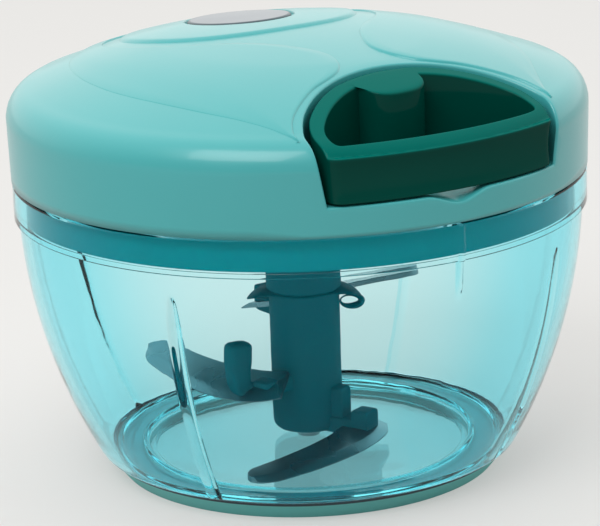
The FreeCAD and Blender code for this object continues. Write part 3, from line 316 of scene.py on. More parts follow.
def overlay(material, factor, tone):
    """Mix a second tone over a material's colour where the factor socket is high."""
    tree = material.node_tree
    colour = tree.nodes["Principled BSDF"].inputs["Base Color"]
    mix = preset(group_node(tree, "ShaderNodeMix", data_type="RGBA"), B=linear(*tone))
    tree.links.new(colour.links[0].from_socket, mix.inputs["A"])
    tree.links.new(factor, mix.inputs["Factor"])
    tree.links.new(mix.outputs["Result"], colour)


def chained(tree, source, kind, operation, value):
    """One maths node behind another: its second input is a plain value."""
    node = group_node(tree, kind, operation=operation)
    if value is not None:
        node.inputs[1].default_value = value
    tree.links.new(source, node.inputs[0])
    return node


def joined(tree, operation, first, second):
    """Two masks or numbers as one: the output of a maths node that both feed."""
    node = group_node(tree, "ShaderNodeMath", operation=operation)
    tree.links.new(first, node.inputs[0])
    tree.links.new(second, node.inputs[1])
    return node.outputs["Value"]


def ring_zone(tree, side, least_level):
    """1 where the radius is on one side of the covered face's and the level is high, else 0."""
    place = tree.nodes.new("ShaderNodeTexCoord").outputs["Object"]
    flat = chained(tree, place, "ShaderNodeVectorMath", "MULTIPLY", (1, 1, 0))
    radius = chained(tree, flat.outputs["Vector"], "ShaderNodeVectorMath", "LENGTH", None)
    inside = chained(tree, radius.outputs["Value"], "ShaderNodeMath", side, COVERED_RADIUS)
    parts = tree.nodes.new("ShaderNodeSeparateXYZ")
    tree.links.new(place, parts.inputs["Vector"])
    above = chained(tree, parts.outputs["Z"], "ShaderNodeMath", "GREATER_THAN", least_level)
    return joined(tree, "MULTIPLY", inside.outputs["Value"], above.outputs["Value"])


ring_tree = ring_rubber.node_tree
# Painted light: bright teal on the covered face, which lies in the bowl's shadow.
overlay(ring_rubber, ring_zone(ring_tree, "LESS_THAN", COVERED_LEVEL), COVERED_PAINTED_LIGHT)
# Painted shade: a dark line on the ring's upper lip, along the seam under the bowl.
overlay(ring_rubber, ring_zone(ring_tree, "GREATER_THAN", LIP_LEVEL), LIP_PAINTED_SHADE)
print("the ring's material has", len(ring_tree.nodes), "nodes")

# %% [markdown]
# ## The bowl's plastic
# The bowl is clear plastic with a breath of cyan. Its colour comes from the depth of plastic that
# light crosses, so a Volume Absorption inside the wall is used: thin walls stay almost clear and
# the edges, where the sight line runs along the wall, turn deep. A tinted surface alone would be
# simpler, but it colours a thin wall and a thick foot alike. A little of it helps at the slanted sides.

# %% Clear plastic
CLEAR_TINT, CLEAR_DENSITY = (0.0, 0.92, 0.99, 1.0), 84.0
CLEAR_EDGE, EDGE_SLANT = (208, 247, 252), (0.05, 0.45)


def clear_plastic():
    """Clear tinted plastic: refraction on the surface and absorption inside the wall."""
    material = moulded("clear cyan plastic", (250, 255, 255), (253, 255, 255), rough=(0.0, 0.03),
                       grain=(110.0, 0.16), Transmission_Weight=1.0, IOR=1.3,
                       Specular_Tint=(0.2, 0.2, 0.2, 1.0))
    tree = material.node_tree
    principled = tree.nodes["Principled BSDF"]
    facing = preset(tree.nodes.new("ShaderNodeLayerWeight"), Blend=0.5)
    slant = preset(group_node(tree, "ShaderNodeMapRange", interpolation_type="SMOOTHSTEP"),
                   From_Min=EDGE_SLANT[0], From_Max=EDGE_SLANT[1])
    edge = preset(group_node(tree, "ShaderNodeMix", data_type="RGBA"), B=linear(*CLEAR_EDGE))
    tree.links.new(facing.outputs["Facing"], slant.inputs["Value"])
    tree.links.new(slant.outputs["Result"], edge.inputs["Factor"])
    tree.links.new(principled.inputs["Base Color"].links[0].from_socket, edge.inputs["A"])
    tree.links.new(edge.outputs["Result"], principled.inputs["Base Color"])
    depth = preset(tree.nodes.new("ShaderNodeVolumeAbsorption"), Color=CLEAR_TINT, Density=CLEAR_DENSITY)
    tree.links.new(depth.outputs["Volume"], tree.nodes["Material Output"].inputs["Volume"])
    return material


bowl_plastic = clear_plastic()
print(bowl_plastic.name, "absorbs at", CLEAR_DENSITY, "per metre")

# %% [markdown]
# ## Which part is made of what
# Every part of the frame gets its finish here, also the ones inside the lid that only show when it
# is taken apart. A table is easier to read and to change than twenty-five separate lines.

# %% Finishes on the frame's parts
NODE_FINISH = {
    "blade_column": column_plastic, "lower_blade": blade_steel, "middle_blade": blade_steel,
    "upper_blade": blade_steel, "bowl_pivot_pin": pin_steel, "base_ring": ring_rubber,
    "inner_lid": plug_plastic, "badge_plate": badge_metal, "housing_screws": pin_steel,
    "coupler_bush": drive_plastic, "reel_axle": pin_steel, "axle_clip": spring_steel,
    "cord_eyelet": pin_steel, "drive_coupler": column_plastic, "cord_reel": drive_plastic,
    "pull_cord_winding": cord_fibre, "recoil_spring": spring_steel, "spring_cover": drive_plastic,
    "pawl_right": drive_plastic, "pawl_left": drive_plastic, "cord_knot": cord_fibre,
    "pull_cord_lead": cord_fibre, "lid_cover": lid_plastic, "pull_handle": handle_plastic,
    "bowl": bowl_plastic,
}


def finish(piece, material):
    """Give a piece one material."""
    piece.data.materials.clear()
    piece.data.materials.append(material)


for node, material in NODE_FINISH.items():
    finish(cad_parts[node], material)
print("finishes on", len(NODE_FINISH), "nodes")

# %% [markdown]
# ## The lid's dome
# The dome is one meridian turned round the axis: a flat crown, a long fall and a tight round
# shoulder. A subdivided cage could be pushed into that shape by eye. A measured line is chosen
# because panels, recess and handle then read their level from it and follow the same swell.

# %% The meridian
lid_low, lid_high = box_of("lid_cover")
GAP_UNDER_LID = 0.25
LID_RADIUS, LID_TOP, LID_BOTTOM = lid_high[0], lid_high[2], lid_low[2] + GAP_UNDER_LID
SIDE_TOP = 81.8
SHOULDER_INS = (6.0, 3.6, 2.0, 0.9, 0.35, 0.0)
SHOULDER_UPS = (6.5, 5.55, 4.4, 2.9, 1.6, 0.0)
MID_RADIUS, MID_LEVEL, DOME_BULGE = 30.0, 96.4, 0.9
SIDE_DRAFT = 0.35
SINK, SINK_RADIUS = 0.6, 60.0

shoulder = flowing(np.stack([LID_RADIUS - np.array(SHOULDER_INS), SIDE_TOP + np.array(SHOULDER_UPS)], -1))
edge, foot = shoulder[0], shoulder[-1]
mid = np.array([MID_RADIUS, MID_LEVEL])
top = np.array([0, LID_TOP])
crown_middle = (MID_RADIUS / 2, LID_TOP - (LID_TOP - MID_LEVEL) / 4)
dome_line = np.concatenate([
    arc(top, crown_middle, mid)[:-1],
    arc(mid, (mid + edge) / 2 + (0, DOME_BULGE), edge)[:-1],
    shoulder])


def dome_level(radius):
    """Level of the frame's dome at a radius."""
    return np.interp(radius, dome_line[:, 0], dome_line[:, 1])


def skin_level(radius):
    """Level of the lid's ground, a little under the dome: sink * (1 - (r / R) ** 4)."""
    return dome_level(radius) - SINK * np.clip(1 - (radius / SINK_RADIUS) ** 4, 0, 1)


skin_line = np.stack([dome_line[:, 0], skin_level(dome_line[:, 0])], -1)
side = np.linspace(foot, (LID_RADIUS - SIDE_DRAFT, LID_BOTTOM), 24)[1:]
meridian = np.concatenate([skin_line, side])
along = np.concatenate([[0], np.cumsum(np.linalg.norm(np.diff(meridian, axis=0), axis=1))])
ALONG_END = along[-1]


def on_skin(flat):
    """A point of the unrolled lid as a point in space: its distance runs down the meridian."""
    distance = np.linalg.norm(flat, axis=-1)
    radius, level = np.interp(distance, along, meridian[:, 0]), np.interp(distance, along, meridian[:, 1])
    direction = flat / np.maximum(distance, 1e-9)[..., None]
    return np.concatenate([direction * radius[..., None], level[..., None]], -1)


def skin_normal(flat):
    """Outward normal of the lid's skin at an unrolled point, square to the meridian."""
    distance = np.linalg.norm(flat, axis=-1)
    step = 0.2
    ahead, behind = np.minimum(distance + step, ALONG_END), np.maximum(distance - step, 0)
    fall = np.interp(ahead, along, meridian[:, 1]) - np.interp(behind, along, meridian[:, 1])
    run = np.interp(ahead, along, meridian[:, 0]) - np.interp(behind, along, meridian[:, 0])
    length = np.hypot(run, fall)
    direction = flat / np.maximum(distance, 1e-9)[..., None]
    return np.concatenate([direction * (-fall / length)[..., None], (run / length)[..., None]], -1)


def unrolled(plan):
    """A plan point on the dome as a point of the unrolled lid."""
    radius = np.linalg.norm(plan, axis=-1)
    reach = np.interp(radius, meridian[:len(skin_line), 0], along[:len(skin_line)])
    return plan / radius[..., None] * reach[..., None]


print("the meridian is", ALONG_END.round(1), "mm long from the crown to the lid's lower edge")

# %% [markdown]
# ## The lid cover
# The real cover is one moulding: dome, side, and a recess cut in at the front for the handle. Cutting
# the recess with a boolean would leave a raw edge, so the skin is laid out as a flat disc first, with
# the recess as a hole in it. Straight lines run from the hole's edge to the disc's rim, and the
# meridian rolls them up into the dome. The hole's edge gets a round, and walls and a floor.

# %% The recess edge
RECESS_HALF, RECESS_LOW_HALF, RECESS_BACK, RECESS_CORNER = 29.6, 28.3, 33.6, 50.5
RECESS_FLOOR, RECESS_ROUND, BEND_LEAD, EDGE_ROUND = 74.0, 3.5, 0.6, 0.5
SCOOP_DEPTH, SCOOP_HALF, SCOOP_REACH = 2.0, 8.0, 5.0
WALL_COUNT, POST_COUNT, FLOOR_ROWS, CORNER_PASSES = 150, 9, 24, 6

front_y = -math.sqrt(LID_RADIUS ** 2 - RECESS_HALF ** 2)
back_arc = arc((-RECESS_HALF, -RECESS_CORNER), (0, -RECESS_BACK), (RECESS_HALF, -RECESS_CORNER), 160)


def recess_plan(count):
    """Plan of the recess from its left front round the back to its right front, corners rounded."""
    middle = back_arc[np.abs(back_arc[:, 0]) < RECESS_HALF - RECESS_ROUND]
    side_end = (-RECESS_HALF, -RECESS_CORNER - RECESS_ROUND * BEND_LEAD)
    left = np.concatenate([[(-RECESS_HALF, front_y)], quarter(side_end, back_arc[0], middle[0], 20)[:-1]])
    return resampled(np.concatenate([left, middle, left[::-1] * (-1, 1)]), count)


def outward(path, closed=True):
    """Normals of a flat path, to the left of its direction."""
    ahead = np.roll(path, -1, 0) - np.roll(path, 1, 0)
    if not closed:
        ahead = np.gradient(path, axis=0)
    ahead /= np.linalg.norm(ahead, axis=1, keepdims=True)
    return np.stack([-ahead[:, 1], ahead[:, 0]], -1)


plan = recess_plan(WALL_COUNT)
floor_along = np.interp(-RECESS_FLOOR, -meridian[len(skin_line):, 1], along[len(skin_line):])
post_along = np.linspace(floor_along, along[len(skin_line) - 1], POST_COUNT)
post_angle = np.arcsin(np.linspace(RECESS_LOW_HALF, RECESS_HALF, POST_COUNT) / LID_RADIUS)
left_post = -post_along[:, None] * np.stack([np.sin(post_angle), np.cos(post_angle)], -1)
over_top = unrolled(plan)
over_top[0], over_top[-1] = left_post[-1], left_post[-1] * (-1, 1)
front_angle = -np.pi / 2 + np.linspace(post_angle[0], -post_angle[0], WALL_COUNT)
front_line = floor_along * np.stack([np.cos(front_angle), np.sin(front_angle)], -1)
scoop = SCOOP_DEPTH * smooth_step(1 - np.abs(LID_RADIUS * np.cos(front_angle)) / SCOOP_HALF)
front_line *= (1 + scoop / floor_along)[:, None]
hole = np.concatenate([left_post[:-1], over_top, (left_post[:-1] * (-1, 1))[::-1], front_line[1:-1]])
free = np.ones((len(hole), 1))
free[[0, 2 * POST_COUNT + WALL_COUNT - 3]] = 0
for _ in range(CORNER_PASSES):
    hole += free * (np.roll(hole, 1, 0) + np.roll(hole, -1, 0) - 2 * hole) / 4
hole_out = outward(hole)
print("recess edge has", len(hole), "points")

# %% [markdown]
# ## From the recess edge to the lid's skin
# In the mould, the skin runs from the recess's rounded edge over the dome to the lower edge of the
# side. Straight lines fan out here from a hub in the recess, with more rows where the shoulder
# bends. A plain polar grid would be simpler, but its lines would cross the recess instead of ending
# at its edge. Walls and a floor then close the recess, and Solidify gives the skin its thickness.

# %% The lid's skin
ROWS_INNER, ROWS_SHOULDER, ROWS_SIDE, ROWS_ROUND = 34, 12, 8, 5
SHOULDER_LEAD, HUB_SHARE, LID_WALL = 1.0, 0.72, 0.75
SHOULDER_START = along[np.searchsorted(dome_line[:, 0], edge[0] - SHOULDER_LEAD)]
SHOULDER_END = along[len(skin_line) - 1] + SHOULDER_LEAD
hub = np.array([0, -HUB_SHARE * ALONG_END])
rim_start = hole + EDGE_ROUND * hole_out


def reach_of(start, heading, distance):
    """How far along a heading a line from start meets a circle about the axis; 0 if it began outside."""
    half = (start * heading).sum(1)
    under = half ** 2 - (start ** 2).sum(1) + distance ** 2
    return np.where((start ** 2).sum(1) >= distance ** 2, 0, -half + np.sqrt(np.maximum(under, 0)))


heading = rim_start - hub
heading /= np.linalg.norm(heading, axis=1, keepdims=True)
stops = [reach_of(rim_start, heading, distance)
         for distance in (SHOULDER_START, SHOULDER_END, ALONG_END)]
shares = [np.linspace(0, 1, n)[:, None] for n in (ROWS_INNER, ROWS_SHOULDER, ROWS_SIDE)]
reach = np.concatenate([
    stops[0] * shares[0], stops[0] + (stops[1] - stops[0]) * shares[1][1:],
    stops[1] + (stops[2] - stops[1]) * shares[2][1:]])
skin_grid = on_skin(rim_start[None] + reach[..., None] * heading[None])

turn = np.linspace(0, np.pi / 2, ROWS_ROUND)[:, None, None]
round_grid = (on_skin(hole[None] + EDGE_ROUND * (1 - np.sin(turn)) * hole_out[None])
              - EDGE_ROUND * (1 - np.cos(turn)) * skin_normal(hole)[None])

wall_top = round_grid[-1]
first, last = POST_COUNT - 1, POST_COUNT - 1 + WALL_COUNT
wall_line = wall_top[first:last]
drop = np.linspace(0, 1, POST_COUNT)[:, None]
post_low = wall_top[:POST_COUNT][::-1]
post_right = wall_top[last - 1:last - 1 + POST_COUNT]
floor_line = wall_line.copy()
floor_line[:, 2] = RECESS_FLOOR
floor_line[0], floor_line[-1] = post_low[-1], post_right[-1]
wall_grid = wall_line[None] + (floor_line - wall_line)[None] * drop[..., None]
wall_grid[:, 0], wall_grid[:, -1] = post_low, post_right
front_edge = np.concatenate([[post_low[-1]], wall_top[last - 1 + POST_COUNT:][::-1], [post_right[-1]]])
depth = np.linspace(0, 1, FLOOR_ROWS)[:, None, None]
floor_grid = front_edge[None] * (1 - depth) + floor_line[None] * depth
floor_fall = np.minimum(front_edge[:, 2] - RECESS_FLOOR, 0)
floor_run = np.linalg.norm(floor_grid - front_edge[None], axis=-1)
floor_grid[..., 2] = RECESS_FLOOR + floor_fall * (1 - smooth_step(floor_run / SCOOP_REACH))
floor_grid[0] = front_edge

lid_cover = piece_from_grids("lid_cover_moulding", [
    (skin_grid, False, True), (round_grid, False, True), (wall_grid, False, False),
    (floor_grid, False, False)], "lid", sharp=50)


def add_wall(piece, thickness, offset=-1.0):
    """Give an open skin a real wall, inwards by default."""
    wall = piece.modifiers.new("wall", "SOLIDIFY")
    wall.thickness = thickness * MM
    wall.offset = offset


add_wall(lid_cover, LID_WALL)
finish(lid_cover, lid_plastic)
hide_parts("lid_cover")

# %% [markdown]
# ## Raised shapes on the dome
# Two long wings and an oval pad stand a little proud of the dome. On the real lid they are part of
# the moulding. Pushing the dome's own grid up would need a very fine grid, so each shape is a thin
# plate with its own outline, laid on the dome and sunk into it, with a soft edge worked into it.

# %% Wings and pad
WING_LIFTS, WING_EDGES = (0.12, 0.42), (0.4, 0.7)
PAD_LIFT, PAD_EDGE, PAD_CENTRE, PAD_HALVES = 0.6, 1.5, (0, 24.5), (27.6, 23.5)
PAD_POWER, PAD_INNER_EDGE, BED, PLATE_WALL = 2.15, 0.3, 0.15, 0.9
EASE = np.array([0, 0.08, 0.22, 0.42, 0.68, 1.0])[:, None, None]
WING_COUNT, OVAL_COUNT = 170, 240
WING_OUTER = [(31.2, -52.5), (33.6, -45.5), (37.2, -38), (41.2, -30), (44.8, -20.5), (47.4, -10.5),
              (48.3, -0.4), (47.2, 11.2), (43.4, 24), (38.0, 34), (31, 42.5), (20, 50), (10, 53.6),
              (0, 54.6)]
WING_INNER = [(31.1, -51.8), (30.2, -48.6), (27.6, -44.6), (23, -40.6), (18, -37.2), (13.5, -35.2),
              (9.6, -33.0), (7.0, -29.8), (5.6, -26), (5.5, -21.5), (7.3, -16), (11, -9),
              (15.8, -3.0), (21.2, 2.0), (26.6, 8.6), (30.0, 16.5), (31.0, 25), (29.4, 34),
              (24.6, 42), (16, 48), (8, 50.6), (0, 51.4)]


def plate_grid(start, end, lifts, soft_start, soft_end, rows=16):
    """A plate ruled between two lines on the dome; it sinks at a soft distance from each line."""
    width = np.linalg.norm(end - start, axis=1)[None, :, None]
    near, far = np.minimum(soft_start, width / 2), np.minimum(soft_end, width / 2)
    middle = np.linspace(0, 1, rows)[1:-1, None, None]
    distance = np.concatenate([near * EASE, near + (width - near - far) * middle,
                               width - far * EASE[::-1]])
    flat = start[None] + (end - start)[None] * distance / width
    rise = np.minimum(distance / soft_start, (width - distance) / soft_end)[..., 0]
    radius = np.linalg.norm(flat, axis=-1)
    lift = lifts[0] + (lifts[1] - lifts[0]) * smooth_step(3 * distance / width)[..., 0]
    level = skin_level(radius) - BED + (lift + BED) * np.sin(np.pi / 2 * np.clip(rise, 0, 1))
    return np.concatenate([flat, level[..., None]], -1)


def both_sides(right):
    """A line from the right recess corner to the back, carried on to the left corner in mirror image."""
    right = resampled(flowing(right), WING_COUNT)
    return np.concatenate([right, right[-2::-1] * (-1, 1)])


def oval(centre, halves, power, count=OVAL_COUNT):
    """A superellipse: |x / a| ** n + |y / b| ** n = 1."""
    angle = np.linspace(0, 2 * np.pi, count, endpoint=False)
    ways = np.stack([np.cos(angle), np.sin(angle)], -1)
    return np.array(centre) + np.array(halves) * np.sign(ways) * np.abs(ways) ** (2 / power)


badge_low, badge_high = box_of("badge_plate")
BADGE_CENTRE = (badge_low[:2] + badge_high[:2]) / 2
BADGE_HALVES = (badge_high[:2] - badge_low[:2]) / 2
BADGE_POWER, BADGE_GAP = 2.0, 0.5

wings = piece_from_grids("lid_wings", [(plate_grid(
    both_sides(WING_OUTER), both_sides(WING_INNER), WING_LIFTS, *WING_EDGES), False, False)], "lid")
pad = piece_from_grids("lid_badge_pad", [(plate_grid(
    oval(PAD_CENTRE, PAD_HALVES, PAD_POWER), oval(BADGE_CENTRE, BADGE_HALVES + BADGE_GAP, BADGE_POWER),
    (PAD_LIFT, PAD_LIFT), PAD_EDGE, PAD_INNER_EDGE), False, True)], "lid")
for plate in (wings, pad):
    add_wall(plate, PLATE_WALL)
    finish(plate, lid_plastic)

# %% [markdown]
# ## The badge
# A bare oval plate of satin metal, a little crowned so that it catches a gradient, with a rounded
# edge. Its plane leans back with the dome. A dark line of painted shade runs round the plate, where
# the gap at its edge lies in shadow. That line could be a ring of its own, but a number on every
# vertex near the edge, which the material reads, makes it as soft as it should be.

# %% The badge
BADGE_CROWN, BADGE_EDGE, BADGE_DROP, BADGE_THICK, BADGE_ROWS = 0.25, 0.45, 0.1, 1.0, 26
# The dark line round the badge is painted shade for the gap at its edge.
BADGE_LINE_START, BADGE_LINE_SOFT, BADGE_PAINTED_SHADE_TONE = 0.945, 0.03, (10, 60, 66)


def points_of(piece):
    """A piece's vertices in mm."""
    spots = np.empty(len(piece.data.vertices) * 3)
    piece.data.vertices.foreach_get("co", spots)
    return spots.reshape(-1, 3) / MM


def painted(piece, name, amount, material, tone):
    """Keep an amount on every vertex and lay a second tone over the material where it is high."""
    piece.data.attributes.new(name, "FLOAT", "POINT").data.foreach_set("value", amount)
    mark = group_node(material.node_tree, "ShaderNodeAttribute", attribute_name=name)
    overlay(material, mark.outputs["Fac"], tone)


def badge_grid():
    """Rings of the oval shrink to the middle; height is a crown, with a quarter round at the edge."""
    ring = oval((0, 0), BADGE_HALVES, BADGE_POWER)
    share = np.concatenate([[0, 1, 1], np.linspace(1, 0, BADGE_ROWS)[1:]])[:, None]
    inward = (1 - share) * BADGE_HALVES.min()
    curl = np.sqrt(np.clip(1 - (1 - np.minimum(inward / BADGE_EDGE, 1)) ** 2, 0, 1))
    height = BADGE_CROWN * (1 - share ** 2) - BADGE_EDGE * (1 - curl) - BADGE_DROP
    height[:2] = -BADGE_THICK
    plan = BADGE_CENTRE + ring[None] * share[..., None]
    tilt = (badge_high[2] - badge_low[2] - BADGE_THICK) / (2 * BADGE_HALVES[1])
    level = badge_high[2] - (plan[..., 1] - (BADGE_CENTRE[1] - BADGE_HALVES[1])) * tilt + height
    return np.concatenate([plan, level[..., None]], -1)


badge = piece_from_grids("badge_oval", [(badge_grid(), False, True)], "lid", sharp=60)
out_share = np.linalg.norm((points_of(badge)[:, :2] - BADGE_CENTRE) / BADGE_HALVES, axis=1)
# Painted shade: the edge number darkens the badge's rim where its gap lies in shadow.
painted(badge, "edge", smooth_step((out_share - BADGE_LINE_START) / BADGE_LINE_SOFT), badge_metal,
        BADGE_PAINTED_SHADE_TONE)
finish(badge, badge_metal)
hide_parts("badge_plate")
print("badge from", badge_low.round(2), "to", badge_high.round(2), "mm")

# %% [markdown]
# ## The pull handle
# The handle is a deep D-shaped ring for two or three fingers, with a boss on its back wall that
# holds the cord's knot. A solid could be cut out of a block and its edges bevelled. Here the plan
# is drawn once outside and once inside as a loop of arcs and sides, and the boss is a swelling of
# the inner loop, so the wall keeps its thickness wherever it should.

# %% The D outline
handle_low, handle_high = box_of("pull_handle")
HANDLE_HALF, HANDLE_BOTTOM = handle_high[0], handle_low[2]
HANDLE_FRONT, HANDLE_FRONT_CORNER, HANDLE_SIDE, HANDLE_BACK = 63.3, 58.4, 49.4, 34.6
HANDLE_WALL, HANDLE_BACK_WALL, BACK_CORNER_SHARE = 2.7, 3.6, 0.55
OUTER_CORNERS, INNER_CORNERS, RUN_STEPS, SIDE_STEPS = (2.2, 4.4, 4.4, 2.2), (1.6, 2.4, 2.4, 1.6), 160, 60
BOSS_CENTRE, BOSS_HALF, BOSS_FRONT, BOSS_POWER = -1.0, 7.6, 45.3, 2.4


def d_outline(inset, back_inset, corner, count=360):
    """Plan of the D: front arc, side, back arc, side, with a round at each of its four corners."""
    half = HANDLE_HALF - inset
    front_corner = inset - HANDLE_FRONT_CORNER
    back_corner = -HANDLE_SIDE - back_inset * BACK_CORNER_SHARE
    front = arc((-half, front_corner), (0, inset - HANDLE_FRONT), (half, front_corner), RUN_STEPS)
    back = arc((half, back_corner), (0, -(HANDLE_BACK + back_inset)), (-half, back_corner), RUN_STEPS)
    right_side = np.linspace(front[-1], back[0], SIDE_STEPS)
    left_side = np.linspace(back[-1], front[0], SIDE_STEPS)
    return rounded_loop([front, right_side, back, left_side], corner, count)


def rounded_loop(runs, corner, count):
    """Runs that meet end to end as a loop: cut back by the corner's size and joined by parabolas."""
    kept = []
    for index, run in enumerate(runs):
        clear = np.linalg.norm(run - run[0], axis=1) > corner[index - 1]
        clear &= np.linalg.norm(run - run[-1], axis=1) > corner[index]
        kept.append(run[clear])
    loop = []
    for index, run in enumerate(kept):
        after = kept[(index + 1) % len(kept)]
        loop += [run, quarter(run[-1], runs[index][-1], after[0], 16)[1:-1]]
    return resampled(np.concatenate(loop + [loop[0][:1]]), count + 1)[:-1]


outer_d = d_outline(0, 0, OUTER_CORNERS)
inner_d = d_outline(HANDLE_WALL, HANDLE_BACK_WALL, INNER_CORNERS)
off_boss = np.abs((inner_d[:, 0] - BOSS_CENTRE) / BOSS_HALF)
bulge = np.sqrt(np.clip(1 - off_boss ** BOSS_POWER, 0, 1)) * (inner_d[:, 1] > -HANDLE_SIDE)
inner_d[:, 1] -= (BOSS_FRONT - HANDLE_BACK - HANDLE_BACK_WALL) * bulge
print("the D is", round(2 * HANDLE_HALF, 1), "mm wide, its opening", round(np.ptp(inner_d[:, 1]), 1), "mm")

# %% [markdown]
# ## The handle's skin
# A section is carried round the D: the wall's two faces and a rounded top that follows the dome.
# The front hollows in between its top and bottom edges, so that fingers find it. The rim is painted
# lighter, as light that falls on its top; its vertices carry a number for the material.

# %% The handle
# The rim's lighter tone is painted light, for the top that catches the lamp.
HANDLE_HEIGHT, HANDLE_DROP, RIM_ROUND, HANDLE_RIM_PAINTED_LIGHT = 13.0, 0.8, 0.45, (0, 104, 95)
FRONT_HOLLOW, HOLLOW_POWER, HOLLOW_LEAD, HANDLE_DRAFT, FRONT_RIM = 0.8, 0.7, 8.0, 0.02, 84.15
CORNER_ROWS, FACE_ROWS, TOP_ROWS = 6, 18, 14

low_outer, top_outer, top_inner, low_inner = softened(
    [(0, 0), (0, HANDLE_HEIGHT), (HANDLE_WALL, HANDLE_HEIGHT), (HANDLE_WALL, 0)],
    RIM_ROUND, CORNER_ROWS).reshape(4, CORNER_ROWS, 2)
face_rows = np.linspace(low_outer[-1], top_outer[0], FACE_ROWS)[1:-1]
top_rows = np.linspace(top_outer[-1], top_inner[0], TOP_ROWS)[1:-1]
section = np.concatenate([low_outer, face_rows, top_outer, top_rows, top_inner, low_inner])
section /= (HANDLE_WALL, HANDLE_HEIGHT)


def rim_level(radius):
    """Level of the handle's rim: it follows the dome, but never falls over the lid's shoulder."""
    return np.maximum(dome_level(radius) - HANDLE_DROP, FRONT_RIM)


def handle_grid():
    """The section carried round the D: across the wall it runs from the outer to the inner outline."""
    share, height = section[:, 0][None, :, None], section[:, 1][None, :]
    plan = outer_d[:, None] * (1 - share) + inner_d[:, None] * share
    frontness = smooth_step((-outer_d[:, 1] - HANDLE_SIDE) / HOLLOW_LEAD)[:, None]
    hollow = FRONT_HOLLOW * np.sin(np.pi * height) ** HOLLOW_POWER * frontness * (1 - share[..., 0])
    plan[..., 1] += hollow
    plan[..., 0] *= 1 - HANDLE_DRAFT * (1 - height)
    rim = rim_level(np.linalg.norm(plan, axis=-1))
    level = HANDLE_BOTTOM + height * (rim - HANDLE_BOTTOM)
    return np.concatenate([plan, level[..., None]], -1)


pull_handle = piece_from_grids("pull_handle_moulding", [(handle_grid(), True, True)], "handle")
spots = points_of(pull_handle)
below_rim = rim_level(np.hypot(spots[:, 0], spots[:, 1])) - spots[:, 2]
# Painted light: the rim number lightens the handle's top, where light falls on it.
painted(pull_handle, "rim", smooth_step(1 - below_rim / RIM_ROUND), handle_plastic, HANDLE_RIM_PAINTED_LIGHT)
finish(pull_handle, handle_plastic)
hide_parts("pull_handle")

# %% [markdown]
# ## The clear bowl's profile
# A bowl is a turned shape: one profile runs from the axis under the floor, up the outer wall, over
# the rim and back down the inner wall. Solidify on a single skin would be less to write, but the
# foot, the step and the ledge differ inside and outside, and clear plastic shows every one of them.

# %% The bowl's profile
bowl_high = box_of("bowl")[1]
SEAM_RADIUS, SEAM_LEVEL, FOOT_ROUND = 46.8, 4.3, 1.0
WALL_MIDDLE, STEP_RADIUS, STEP_LEVEL, LEDGE_LEVEL = (56.1, 25.0), 62.5, 59.3, 59.9
BOWL_WALL, RIM_WALL, FLOOR_LEVEL, UNDER_LEVEL = 2.2, 2.6, 5.0, 3.0
RIDGE_RADII, RIDGE_HALF, RIDGE_HEIGHT = (43.0, 37.2), 0.9, 0.4
SPIGOT_INNER, SPIGOT_OUTER, SPIGOT_LEVEL, LIP_RADIUS, SEAT_GAP = 35.2, 36.9, 1.4, 43.9, 0.06
RIM_RADIUS, RIM_LEVEL = bowl_high[0], bowl_high[2]
BAND_ROWS, STEP_EASE, BAND_EASE, RIM_EASE, BACK_EASE = 14, 0.05, 0.2, 0.3, 0.4

outer_wall = arc((SEAM_RADIUS, SEAM_LEVEL), WALL_MIDDLE, (STEP_RADIUS, STEP_LEVEL), 72)
inner_wall = arc((SEAM_RADIUS - BOWL_WALL, FLOOR_LEVEL), (WALL_MIDDLE[0] - BOWL_WALL, WALL_MIDDLE[1]),
                 (STEP_RADIUS - BOWL_WALL, LEDGE_LEVEL - BAND_EASE), 100)
low_wall = outer_wall[outer_wall[:, 1] > SEAM_LEVEL + FOOT_ROUND]
rim_inner, seat, under = RIM_RADIUS - RIM_WALL, SEAM_LEVEL + SEAT_GAP, UNDER_LEVEL + SEAT_GAP
hill = np.linspace(-1, 1, 9)
ridge_level = FLOOR_LEVEL + RIDGE_HEIGHT * np.cos(np.pi / 2 * hill) ** 2
bowl_runs = {
    "foot": [(0, UNDER_LEVEL), (SPIGOT_INNER, UNDER_LEVEL), (SPIGOT_INNER, SPIGOT_LEVEL),
             (SPIGOT_OUTER, SPIGOT_LEVEL), (SPIGOT_OUTER, under), (LIP_RADIUS, under), (LIP_RADIUS, seat)],
    "foot round": quarter((SEAM_RADIUS - FOOT_ROUND, seat), (SEAM_RADIUS, seat), low_wall[0], 7),
    "outer wall": low_wall[1:],
    "step": [(STEP_RADIUS + STEP_EASE, STEP_LEVEL), (RIM_RADIUS - BAND_EASE, STEP_LEVEL)],
    "band": np.linspace((RIM_RADIUS, STEP_LEVEL + BAND_EASE), (RIM_RADIUS, RIM_LEVEL - RIM_EASE), BAND_ROWS),
    "rim": [(RIM_RADIUS - RIM_EASE, RIM_LEVEL), (rim_inner + BACK_EASE, RIM_LEVEL)],
    "band back": np.linspace((rim_inner, RIM_LEVEL - BACK_EASE), (rim_inner, LEDGE_LEVEL + BAND_EASE),
                             BAND_ROWS),
    "ledge": quarter((rim_inner, LEDGE_LEVEL + BAND_EASE / 2), (rim_inner, LEDGE_LEVEL),
                     (rim_inner - BAND_EASE, LEDGE_LEVEL), 5),
    "inner wall": inner_wall[::-1],
    "ridges": np.concatenate([np.stack([radius - RIDGE_HALF * hill, ridge_level], -1)
                              for radius in RIDGE_RADII]),
    "floor": [(20.0, FLOOR_LEVEL), (5.0, FLOOR_LEVEL), (0, FLOOR_LEVEL)],
}
bowl_profile = np.concatenate(list(bowl_runs.values()))
run_of_row = np.repeat(list(bowl_runs), [len(run) for run in bowl_runs.values()])
print("the bowl's profile has", len(bowl_profile), "points in", len(bowl_runs), "runs")

